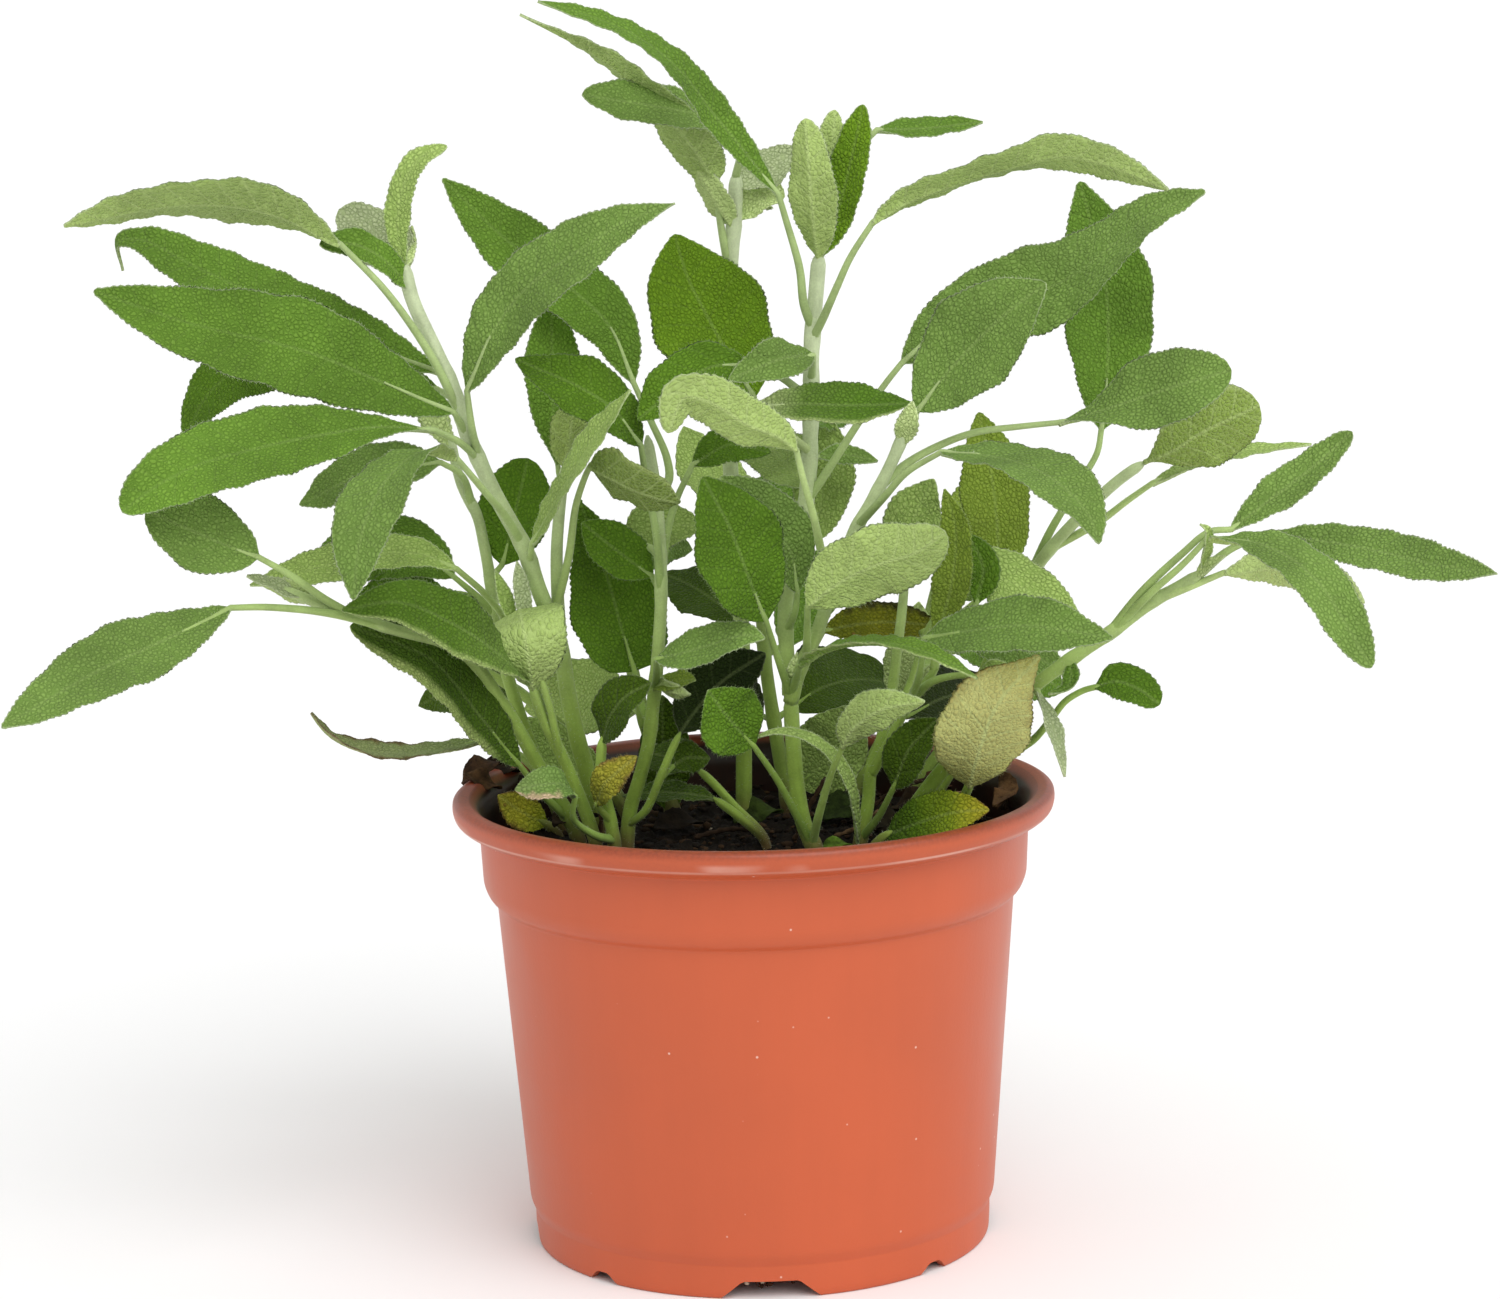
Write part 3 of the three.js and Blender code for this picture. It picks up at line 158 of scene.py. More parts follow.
# Outline of a blade: where it is widest along its length, and how blunt its base and tip are
FORMS = {
    "lance": (0.85, 0.75, 0.95),
    "broad": (0.95, 0.7, 0.75),
    "blunt": (1.0, 0.65, 0.5),
    "base": (0.6, 0.6, 1.0),
    "spoon": (1.35, 0.9, 0.5),
}

# Positions across a blade, closer together at the midrib and at the margins, and the order in
# which the underside takes them
ACROSS = np.array([-1, -0.93, -0.74, -0.5, -0.26, -0.07, 0.07, 0.26, 0.5, 0.74, 0.93, 1])
UNDER = slice(len(ACROSS) - 2, 0, -1)

# Colours of the leaves' upper faces, by tone: young, greyish, green, dark, olive, yellow, painted
# deep shade, silvery, ageing, painted light from behind, and fresh and pale, which is young leaves'
# colour painted lighter still as painted light on leaves that lie in shade
TONES = [
    (162, 187, 104), (121, 150, 74), (106, 141, 51), (91, 126, 32), (106, 124, 24),
    (196, 182, 112), (68, 92, 15), (172, 184, 140), (150, 142, 52), (132, 154, 58),
    (112, 148, 32), (200, 218, 148),
]
UNDERSIDE = (166, 189, 108)
DARK_TONES = (3, 4, 6, 9)
SPOTTED = ("R15", "R16", "WW", "XX", "R25")

# Colours of stalks and stems from the soil up, the heights where they change, and their hairs
STALK_LOW = (142, 170, 76)
STALK_HIGH = (178, 196, 136)
STALK_PALES = (90, 175)
STEM_FOOT = (96, 78, 44)
STEM_LOW = (142, 170, 70)
STEM_HIGH = (192, 204, 164)
STEM_GREENS = (79, 88)
STEM_PALES = (92, 185)
STEM_HAIR = (176, 188, 146)
FUZZ_PALE = (222, 228, 205)
MARGIN_PALE = (215, 222, 196)

# Colours of a leaf's veins, of its hairy margin and of its spots
VEIN_PALE = (190, 208, 140)
MARGIN_SHEEN = (206, 214, 180)
SPOT_BROWN = (120, 92, 44)

# Colours of the pot: its plastic, specks, the rim's dull top with painted shade under its lip,
# painted highlights on its lip, and painted shade with some dirt inside it
PLASTIC = (190, 86, 48)
SPECK = (238, 214, 200)
RIM_TOP_AND_LIP_SHADE = (118, 52, 32)
LIP_HIGHLIGHT = (236, 196, 180)
SHADE_AND_DIRT = (16, 10, 6)

# Colours of the soil, its crumbs and white grains, and of the bits in the foot's gaps
SOIL_DARK = (24, 18, 12)
CRUMB_BROWN = (36, 26, 17)
WHITE_GRAIN = (176, 164, 144)
PALE_BIT = (190, 178, 156)
DARK_BIT = (58, 40, 27)

# How far apart leaves lie in the pattern of their material, by their seeds
SEED_SPREAD = 37.0

# Values of a mesh without leaf coordinates, and of stems and hairs, which are neither upper face
# nor underside
NONE = (0, 0, 0)
BARE = (0.5, 0, 0)

# Leaves with colours of their own, and three painted nearly black as painted shade: colours from
# base to tip, then the colour of a dry or folded margin, the side that it is on (0 for both), its
# share of the blade and where it starts
MARKS = {
    "R16": ([(58, 82, 16), (84, 114, 20), (124, 142, 30), (196, 184, 52)],
            (126, 82, 48), 0, 0.2, 0.9),
    "R15": ([(168, 170, 88), (190, 190, 114), (190, 188, 116), (168, 164, 88)],
            (140, 116, 62), 0, 0.06, 0.55),
    "WW": ([(128, 136, 46), (164, 158, 54), (160, 148, 54)], (132, 110, 56), 0, 0.2, 0.5),
    "XX": ([(132, 146, 34), (196, 190, 58), (180, 170, 60)], (120, 96, 44), 0, 0.2, 0.3),
    "VV": ([(116, 148, 70), (120, 148, 76), (126, 148, 84)], (206, 178, 148), -1, 0.36, 0.4),
    "J": ([(84, 112, 30), (64, 90, 20), (84, 112, 34)], (150, 166, 98), -1, 0.34, 0.12),
    "K2": ([(124, 150, 74), (88, 120, 36), (84, 116, 32)], (160, 178, 108), -1, 0.16, 0.0),
    "EE": ([(176, 190, 130), (100, 130, 50), (86, 120, 34), (86, 120, 34)],
           (160, 176, 112), 1, 0.16, 0.0),
    "I": ([(140, 158, 96), (160, 172, 116), (150, 158, 98)], (112, 84, 48), 0, 0.2, 0.3),
    "R25": ([(104, 112, 24), (120, 120, 26), (112, 116, 28)], (64, 62, 22), -1, 0.3, 0.2),
    "R19": ([(104, 138, 46), (106, 138, 50)], (160, 178, 110), 1, 0.22, 0.1),
    "R6": ([(140, 164, 78), (134, 158, 72)], (160, 176, 110), 1, 0.1, 0.1),
    "DD": ([(128, 150, 74), (118, 140, 62)], (150, 166, 96), 1, 0.1, 0.1),
    # BM2, BR1 and R29 are painted nearly black: painted shade inside the foliage
    "BM2": ([(36, 46, 10), (34, 44, 10)], (44, 58, 16), 1, 0.1, 0.1),
    "BR1": ([(42, 56, 10), (40, 54, 10)], (50, 64, 16), 1, 0.1, 0.1),
    "R29": ([(34, 48, 8), (30, 44, 8)], (42, 56, 16), 1, 0.1, 0.1),
}

# Litter on the soil and in the foot's gaps: dead leaf scraps, twigs and small green leaves, each
# as its points, its width and its colour, with points as in the lists below
SCRAPS = [
    ([(-58, 93, -16), (-54, 97, -18), (-49, 97.5, -22)], 6, (64, 44, 28)),
    ([(-55, 92.5, -24), (-51, 96.5, -25), (-46, 95.5, -27)], 6, (44, 31, 20)),
    ([(-57.5, 95, -12), (-53, 93.5, -13), (-50, 92, -14)], 5, (78, 55, 34)),
    ([(-49, 91, -22), (-45.5, 94, -26), (-42, 92.5, -30)], 5, (38, 28, 18)),
    ([(48, 86, -4), (50.5, 89.5, -8), (49, 92.5, -12)], 5, (92, 66, 42)),
    ([(50, 85.5, -12), (52, 89, -16), (50, 93, -20)], 4, (54, 38, 24)),
    ([(33, 88, -22), (36, 91.5, -20), (39.5, 90, -22)], 5, (84, 58, 36)),
    ([(28, 86, -14), (32, 88.5, -12), (36, 87.5, -12)], 5, (48, 34, 20)),
    ([(13, 77.6, 10), (16.5, 79.4, 9), (20, 78.4, 8)], 3.4, (88, 116, 36)),
    ([(25.5, 79, 4), (29, 81, 3), (33, 80.6, 2)], 3.6, (92, 120, 40)),
    ([(-4, 84, -16), (1, 86.5, -19), (6, 86, -20)], 6, (52, 66, 22)),
    ([(14, 84, -14), (19, 87.5, -17), (24, 87, -18)], 7, (44, 58, 20)),
    ([(22, 82, -4), (27, 84.5, -7), (31, 83.5, -8)], 5, (40, 34, 20)),
    ([(-40, 84.5, 0), (-36, 87, -4), (-31, 86, -6)], 6, (46, 36, 22)),
    ([(-20, 83, -6), (-15, 85, -10), (-10, 84, -12)], 5, (34, 26, 18)),
]
TWIGS = [
    ([(8, 80, 0), (11, 86.5, 4), (14.5, 92.5, 6)], 0.5, (70, 52, 36)),
    ([(16, 80.5, 2), (20, 82, 1), (25, 85.5, -2)], 0.45, (96, 74, 50)),
    ([(-31, 80.5, 2), (-30.5, 85, 3), (-30, 89.5, 3)], 0.5, (84, 62, 42)),
    ([(22, 85, -8), (28, 89.5, -8), (35, 92, -10)], 0.45, (62, 46, 30)),
    ([(-12, 81, -2), (-5, 82.5, -4), (1, 82, -6)], 0.5, (52, 38, 26)),
    ([(33, 83, -6), (38, 88, -9), (42, 89, -12)], 0.4, (104, 82, 56)),
]

# One entry for each leafy stem: its name, its axes and its leaves, with a ; between two of
# them. An axis is its radius at the base and at the tip: its points. A leaf is its label: the
# points of its stalk up to the blade / the points of its midrib / the width of its blade / its
# rolls from base to tip, or the one roll it has all along / its tone and its form. Points are
# across, up and near for a viewer in front of the pot, as they are in the part's source.
PLANT = {
    "left_tall_stem": ("""
    1.7 1.25: -31 79 -13, -33 94.6 -9, -34.6 101 -7, -36.4 111 -4, -37.7 121 -1, -41.4 131.6 2,
    -44 140 4, -49 150 6, -51.4 155.4 8, -54.6 163.5 10, -57 172 11, -59.8 178.8 12, -64.4 190 13,
    -65.7 197 13;
    1.25 1: -37.7 124 -1, -37.7 139 -1, -36.6 149.5 -2, -35.4 157 -2""", """
    A: -55.8 167 10, -61.3 179 15, -69.5 191.5 19 / -78 200.8 22, -87 206.4 24, -98 209.6 27,
    -110 210 29, -121 208.2 30, -131.6 205.6 31 / 15.5 / 118 120 118 / 1 broad;
    B: -54.5 163 10 / -57 167.4 14, -70 173.6 20, -85 180.2 25, -108 186.3 31, -126.4 192.8 34 /
    18.8 / 30 20 15 / 2 broad;
    D: -58 174 11 / -60 175.4 9, -75 182.4 4, -95 191.8 -2, -108 198.2 -7, -116.4 202.6 -11,
    -121.3 202.2 -13, -120.6 196.6 -15 / 14 / 40 30 25 / 2 lance;
    E: -56.5 170 10 / -60 172 4, -75 177 -4, -88 179 -10, -98 177.4 -15, -105.2 172 -19,
    -110 163.8 -22 / 13.6 / 30 25 20 / 3 blunt;
    F: -52.5 158 9, -56 161.4 14 / -61 164 20, -72 165 26, -84 163.8 33, -96 161.6 39,
    -108 158.4 46, -117 153.8 50, -123 149.2 53 / 16.2 / 35 25 25 / 2 spoon;
    M: -44.5 141 4, -47.5 146.5 10, -51.4 151.5 17 / -57 158.6 25, -63.6 160.4 32, -71.2 154.6 41,
    -76.2 144 48, -78.2 130.6 52 / 14.2 / 60 30 10 / 1 broad;
    V: -52.2 158 9, -53.7 165 14 / -54.3 171.5 16, -49.6 182.4 20, -43 191 23, -32.3 198.4 27,
    -22.2 204 30, -12.6 207.2 31 / 14.6 / 25 25 30 / 1 lance;
    X: -36.4 152 -2 / -36.8 155 -4, -37.4 163 -6, -37.4 173 -8, -37.2 187.5 -11 / 11.6 / 10 /
    2 spoon;
    X2: / -35.4 156 -2, -34.6 163 0, -33.6 170 1 / 8 / 160 / 9 broad;
    AA: -43.2 137 4 / -42.6 141 10, -38.4 149 17, -30.6 161 23, -22.3 171 26 / 10 / 62 / 0 broad;
    DD: -37.6 126 -1, -35.4 138 4, -33.6 148.5 9, -31.4 154.6 12 / -30.4 156.4 14, -27 154.9 17,
    -21 151.7 20, -13 148.6 22 / 14 / 135 130 125 / 3 broad;
    U1: / -65.8 196 13, -66.8 203 15, -65.6 211 16, -62.3 216.8 15, -56.5 219.3 14 / 5.8 / 25 25 30
    / 0 blunt;
    U2: / -65.8 195 12, -69.6 200.6 8, -73.8 204.8 5, -78 207.4 3 / 12.4 / 30 / 7 blunt;
    U3: / -65.3 192 13, -69 197.4 17, -75 200.8 19, -82 200.8 21 / 7.4 / 30 / 2 blunt;
    U4: / -65.8 196 12, -64.9 200.4 8, -63.8 204 6 / 4 / 20 / 11 broad"""),
    "left_low_stem": ("""
    1.5 0.9: -35 79 -3, -43 97 4, -50 110 11, -57 119.5 16, -72 125 24, -80 128 29, -88 131.3 31,
    -93 133.5 32""", """
    G: -78 127.5 28, -84 131 32, -90 135.6 35 / -96.6 139.6 37, -103.8 142.8 39, -111 146.2 41,
    -118.4 149.4 42 / 15.2 / 20 / 1 blunt;
    H: -72 125 24, -80 127.4 30, -86 128.6 34, -91 129.2 36, -96.4 129.6 38 / -102.5 129.6 41,
    -115 124.2 50, -130 117.6 62, -149 106.6 75 / 14 / 30 25 25 / 1 broad;
    J: -38 86 0, -42 90.5 5 / -46.2 96.2 9, -54.2 107.5 16, -63 118.4 21, -79 125.4 25 / 12.6 / 25 /
    6 blunt;
    I: -41 93 2, -47 99 0 / -54 101.8 -2, -62 100.6 0, -69.5 100 2, -77 100.8 4, -83.2 103.6 5,
    -87.4 108.2 5 / 9.4 / 74 78 80 / 3 blunt;
    S4b: / -88 131.3 31, -93 133.8 33, -99 136 34 / 5 / 60 / 7 broad;
    S4c: / -84 130 30, -91 133 28, -98 135.5 27 / 5 / 140 / 7 broad"""),
    "left_inner_stem": ("""
    1.45 0.9: -38 79 -17, -44 100 -19, -49 118 -17, -50.5 127 -16, -51 134 -15, -52 141 -14,
    -53.2 147 -13, -56 153 -12, -58 163 -11""", """
    S5a: / -58 160 -11, -61 166 -9, -66 172 -8 / 5 / 20 / 11 broad;
    S5b: / -57.5 160 -11, -62 168 -13, -67 174.5 -14 / 6 / 20 / 11 broad;
    N: -54 149 -13, -56 155 -9 / -60 157.6 -7, -74 156.4 -9, -88 149.8 -13 / 12.2 / 30 / 1 broad;
    O: -50.5 127 -16, -54 131 -13 / -58.2 134.8 -11, -64.2 139.4 -11, -73.5 141.2 -12, -88 136.5 -14
    / 14.8 / 20 / 2 broad;
    O2: -51 134 -15 / -48.5 137 -15, -46.2 146 -15, -42.8 158 -16 / 15.4 / 15 / 3 blunt;
    P2: -49.3 120 -17, -48 125 -9, -52 131 -4 / -57.5 136.3 0, -64 139.5 1, -74 139.8 2,
    -84 137.7 3, -98.5 134 4 / 9.5 / 35 / 0 broad;
    T: -50.5 127 -16, -56 131 -12 / -60 131.6 -9, -68 132.2 -8, -79 128.6 -6 / 9.6 / 20 /
    3 broad"""),
    "left_mid_stem": ("""
    1.35 1.05: -31.5 79 4, -37 96 6, -41 105 9, -43.5 113 12;
    0.8 0.7: -37.2 94.5 4, -38.5 100 8, -40 108 11, -41.5 114 13""", """
    K1: / -43 112.5 12, -43.8 118 15, -44.5 123.5 15, -45 126.3 9, -46 127 -1 / 17 / 172 / 0 broad;
    K2: / -43.5 113 12, -50 119.8 20, -58 125.3 26, -69 130 31, -80.5 128.6 34 / 12.4 / 60 15 10 /
    1 broad;
    K3: -43.3 112 12, -43.8 118 9 / -44.2 124 6, -44.7 130.5 5, -45.6 137.6 5 / 3.6 / 10 / 7 broad;
    K4: -43.3 112 12, -45.5 118 8 / -46.5 124 4, -48 130 3, -50 136 2.5 / 3 / 10 / 0 broad"""),
    "left_front_stem": ("""
    1.3 0.95: -27.8 78 8, -29 87 9, -30.3 93.5 10, -29.8 102 11""", """
    R23L: / -29.8 101 11, -28.8 105.5 14, -25.5 109.8 16, -19.8 112.6 17 / 11 / 30 / 6 broad;
    VV: -28.2 81 8.5, -32 82 15, -36 85.5 20 / -35.5 90 22, -37.5 92.6 24, -42 92.6 26,
    -47.5 91.5 25 / 8 / 50 35 20 / 1 broad;
    WW: -28.8 85 9 / -31.5 88 13, -30 92 16, -27 94.8 17, -23 97.8 17 / 7 / 20 / 8 broad"""),
    "front_left_stem": ("""
    1.45 1: -25.5 78 2, -24.6 87 3, -22.6 93.3 4, -20.7 100 5, -19.8 106 6, -19 112 6, -18.1 120 5,
    -17.3 131 4, -17.6 149 3, -19.2 162 2;
    0.8 0.7: -24.9 84 3, -21.5 86.8 7, -18.6 93 9, -16.2 98.5 8, -14.2 102.5 6""", """
    R22: -19.2 111.5 6, -18.6 115 12 / -18.8 117.3 17, -13 118.8 21, -7 120.5 24, -1 121.8 26,
    3 121 27 / 9.5 / 35 30 25 / 1 broad;
    R23R: / -19 112.3 6, -15.5 113 11, -11 113 14 / 7 / 50 / 9 broad;
    R23P: / -18.8 112.5 7, -15 110.8 13, -12 110 15 / 4.5 / 140 / 11 broad;
    C1: -17.5 131 4, -18 143 7, -19.5 152 9 / -20.5 160 12, -25 167 14, -31.6 171.8 14,
    -44.6 177.6 11 / 13 / 30 / 3 broad;
    C2: -17.7 133 4, -16 141.6 0, -13.9 148.8 -3 / -10.4 156 -5, -3 160 -6, 5 158 -7 / 9 / 30 /
    3 broad;
    W: -18 150 3, -15.2 153 0, -15.5 157.5 -2, -18.5 165 -4 / -21.6 172.4 -6, -25.8 183.6 -8,
    -35.6 193.4 -9, -46.3 201.8 -10, -57.6 213 -11 / 14.8 / 20 / 2 broad;
    TT1: -20.2 104 5.5, -22.4 110 0 / -23 115 -5, -24.8 122.5 -7, -27.4 133 -9, -33 149.6 -10 / 19.6
    / 15 / 3 base;
    TT2: -17.6 131 4 / -19 134 -2, -24 138 -3, -32.6 145 -4 / 11 / 20 / 3 broad;
    TT3: -17.4 138 4, -20 140 -6 / -24 140.6 -11, -18 144 -13, -9 144 -15 / 11 / 20 / 0 broad;
    R29: / -14.2 102 6, -11 107 2, -6 112.5 -2, 3 118 -6 / 13 / 20 / 6 broad;
    R30: -18.6 93 9 / -16 95.5 6, -13 97.3 3, -8.5 97 0 / 7 / 20 / 6 broad"""),
    "centre_stem": ("""
    1.55 1.45: 12.3 76 12, 10 83 12, 8.7 91 12, 8.2 99 12, 8 104 12, 7.8 109.5 12;
    1.4 1.45: 7.8 109.5 12, 7.3 118 10, 7.2 127 8, 9.5 137 5, 12 150 2, 13 165 0, 13.5 179 -1,
    14.6 190 -2, 15.3 197 -2;
    1.35 1.1: 7.8 108 12, 10 115 14, 13 121 16, 15.7 128.4 17, 18.4 135.4 17, 21.2 142 17,
    25.6 149.5 18, 29.2 156.5 19, 32.2 163.2 20, 34.2 167 21""", """
    QQ: 7.8 109.5 12, 7 112 15, 5 118.5 20 / 3.3 124.5 24, 0.5 133 28, -3 143 30, -8.5 153.5 29 /
    18.5 / 20 / 3 broad;
    RR: 7.3 122 9, 9 126 12 / 9.6 130 13.5, 8.8 138 15.5, 3 146.6 17, -5 153.4 17 / 13 / 20 /
    1 broad;
    R17: 11 117 15, 11.4 121.5 20 / 11.6 127.2 26, 17.5 132 29, 25 135.6 32, 33 137.9 34,
    39 141.6 36 / 15.4 / 156 / 0 blunt;
    R19: 8.3 110 12, 9.3 113.5 18 / 9.8 115.6 23, 14 118.7 31, 20 120.2 40, 28 119.8 48,
    37 116.8 54, 45 112 57 / 8.5 / 64 60 60 / 1 broad;
    BUD: / 8 109 12, 8.5 113.5 14.5, 9.3 118 15 / 3 / 10 / 11 broad;
    R21: 11.3 79 12, 9 84 15, 5 92 20 / 0.3 99.3 25, -2 102.3 27, -5 106 29, -8.5 110.8 30 / 14.5 /
    20 / 3 broad;
    R20: 12 79 13, 13 85 18, 15.5 93 23 / 18 98.8 27, 20.5 103 30, 26 106.6 33, 34.5 107.6 35 / 8.5
    / 150 / 0 broad;
    R3: 33.8 165.5 20.7 / 34 165.6 22, 38 171.2 24, 43.2 177 26, 50.8 184 29, 59.4 190 31 / 19.4 /
    20 / 1 broad;
    R3b: / 31.5 158 19.5, 32 163 23, 33 167.5 24 / 4.5 / 10 / 11 broad;
    R8: 22.5 143 17, 27 148.6 24, 31.5 153.4 28 / 38.5 157.4 34, 46.3 157.2 41, 55.8 154.8 49,
    63 149.9 56, 67.4 144.4 61, 69.4 138.4 64 / 14.6 / 35 30 25 / 1 broad;
    R5: 26.2 150.5 18, 31 154.8 15, 38 158.6 15, 45 161 17, 54 162 18 / 61.5 162.6 19, 69 164.8 22,
    78.5 167.8 25, 86.5 170 28, 95.6 172.2 29 / 15.4 / 70 40 20 15 / 1 spoon;
    P1: 17 130 17, 14.8 136.7 22, 13 145.7 27, 11.2 152.8 31 / 10 158.4 33, 6.6 161.4 35,
    0 164.4 38, -7 168.8 41, -12 169.6 42, -15.3 162.4 42 / 10.4 / 150 / 0 blunt;
    EE: 12.8 158 0, 8 162 8 / 2 167.2 15, 10 167.8 19, 20 167.3 21, 33 167 22 / 10.5 / 40 / 3 broad;
    Y: 13 168 0, 7 173 6 / 1 175.5 10, -6 175.5 12, -12 172.5 14, -21 165 16 / 12.5 / 25 / 3 broad;
    Z: 13.3 172 0 / 13.8 177 5, 8 176.8 12, 3 175 14, -3 172.5 15 / 9 / 25 / 1 broad;
    II: 13.8 182 -1, 12.1 187 1, 11.4 194 3, 8.8 204 6 / 7.6 208.4 8, 2.2 215.8 11, -4.4 224.4 14,
    -10.2 232.4 17, -17.2 238.6 19, -26 243 21, -38 246.6 23 / 8.6 / 30 30 45 60 55 / 2 broad;
    NN: / 15 196 -1, 14.6 204 3, 14 213 5, 13.2 223 5 / 9.8 / 160 / 0 blunt;
    OO: / 16.2 196 -2, 18.4 203.4 -2, 21 212.4 -2, 24.4 225.4 -2 / 9 / 20 30 30 / 10 blunt;
    OP: / 15.5 196 -3, 17 210 -8, 18.8 224.5 -10 / 8.4 / 160 / 0 blunt;
    PR: 15.5 196 -3, 20 210 -12, 24 217.5 -15 / 27 220.5 -16, 36 220.8 -19, 47.5 221.5 -22 / 6.5 /
    50 / 2 broad;
    R1: 14 180 -1, 15.7 184 2, 18.5 190 6, 21.4 196 9 / 25.8 202.6 12, 31 206.4 14, 37.5 209.2 16,
    45 211.6 18, 53 213.6 20, 62.5 215.2 22, 73 212.6 24, 83.5 207.6 25 / 11.8 /
    130 120 98 106 138 145 136 / 1 broad;
    R2: 12 148 2.5, 17 155.5 2, 22 163 1, 27.7 171 0 / 31 175 0, 40 182.6 1, 50.8 186.8 3, 61 190 6,
    70.5 196.2 9, 79.5 203 11, 90.6 207.2 12 / 17.6 / 15 10 20 45 45 35 / 1 broad;
    R25: 10 115 14, 12.4 118.6 8 / 14.6 122.2 3, 22 123.6 1, 29 123.8 -1, 38 122.5 -3 / 9 / 20 /
    4 broad;
    GG: 9.5 137 5, 11 139 -4 / 13 140 -10, 14.4 147 -12, 15.6 155 -13, 16.4 165 -14 / 12.6 / 10 /
    0 broad;
    FF: 12.5 156 1 / 14 157 -4, 20 157.3 -6, 26 155.8 -7 / 5 / 40 / 1 broad;
    GH: / 13 164.5 0, 15 166 -18, 17 167 -34, 16 167 -50 / 11 / 20 / 3 broad;
    GI: / 12 151 2, 8 156 -14, 3 161 -30, -2 163 -46 / 13 / 20 / 0 broad"""),
    "tall_back_stem": ("""
    1.6 1.4: -2 78 -20, -1.5 110 -22, -2 140 -21, -3 155 -20, -3.5 175 -19, -2.3 190 -18,
    -2 195 -18, -1 205 -18, -0.5 213 -18""", """
    HH: -3.2 160 -20, -0.5 165 -12 / 2 169 -8, -2.4 177 -9, -7 186 -11, -10.4 193 -13,
    -12.8 201.2 -15 / 23.6 / 12 / 10 broad;
    JJ: -2.2 193 -18, -3.8 203 -16.5 / -4.6 211.4 -15, -9.6 220 -9, -17.2 228.8 -4, -27 236.8 1,
    -41.5 244.2 5 / 11 / 155 140 112 108 106 / 1 base;
    KK: -0.5 212 -18, 0.5 218 -13 / -3 223.5 -7, -14 226 0, -30 228.6 4 / 10.8 / 40 / 1 blunt;
    MM1: / -1.5 202 -18, -4.5 208 -15, -8.5 214.5 -13 / 6.5 / 150 / 7 broad;
    MM2: -2 190 -18, -1.5 198 -18.5 / 0 204 -19, 4 209.5 -20, 8.8 208 -21 / 10.5 / 30 / 11 blunt;
    MM3: / -0.5 210 -18, 5 213.5 -20, 11.5 217.5 -22 / 9 / 30 / 7 broad;
    HI: / -3.5 176 -19, -6 182 -34, -8 188 -50, -8 190 -62 / 16 / 20 / 10 broad"""),
    "right_centre_stem": ("""
    1.4 0.85: 21 77 8, 22.8 87 8, 23.5 93.5 8, 25.5 99 8, 26.8 105 8, 28 110 8, 29 117 8,
    29.6 121 8, 30.5 128 8, 31 134 8;
    1.1 0.75: 23.5 93 8, 27 99 11, 29.5 104 13, 32 108 15, 36.5 114 17, 37 118 17;
    0.7 0.6: 26.3 102.5 8, 31 110 6, 33 115.5 4, 34 121 3""", """
    R24: 22 80 8, 25 84.5 14 / 28 90.2 19, 29 93.5 21, 31 98 22, 37 104 22 / 10 / 25 / 6 broad;
    R18: 31 107 14.5, 33.5 113 22 / 34.5 120.3 27, 42 121.7 33, 53 122.7 40, 62 121.5 45,
    72 119.3 48 / 12.5 / 25 / 1 broad;
    R31: 32.3 108.8 15.5, 36 111.5 20, 41 112.6 23 / 45 112.3 24, 48 113.8 25, 52 114 25 / 4 / 30 /
    0 broad;
    R26: 36.5 114 17 / 36.9 120 17, 40 131 20, 41 142 20, 39 150 19 / 8 / 20 / 9 broad;
    R26b: / 31 133 8, 31.5 140 7, 33.5 146 6, 37 152 5 / 12 / 20 / 0 broad;
    R27: 34 121 3, 42 125 -2 / 49 131 -5, 49.5 140 -7, 48.5 152 -9, 46 165 -11 / 14 / 10 / 9 broad;
    R28: 33.5 117 4, 36 123 6 / 40 128 8, 46.6 132.8 9, 54.4 130 10, 66.6 122.6 11 / 12.6 / 25 /
    0 lance;
    R28b: 36.8 116 17, 40 121 15 / 45 127 14, 46.5 134 14, 43.5 141 14 / 7 / 20 / 3 broad;
    R32: 32.5 114 4, 38 117 -3 / 44 118 -5, 52 118.4 -5, 62.6 112.6 -7 / 10.6 / 20 / 1 broad;
    R33: / 21 78 9, 20.6 85 14, 19.5 91 18, 16.5 96.5 20, 11 101 21.5, 5 102.2 22, -0.5 100.6 22 /
    3.4 / 30 / 0 broad"""),
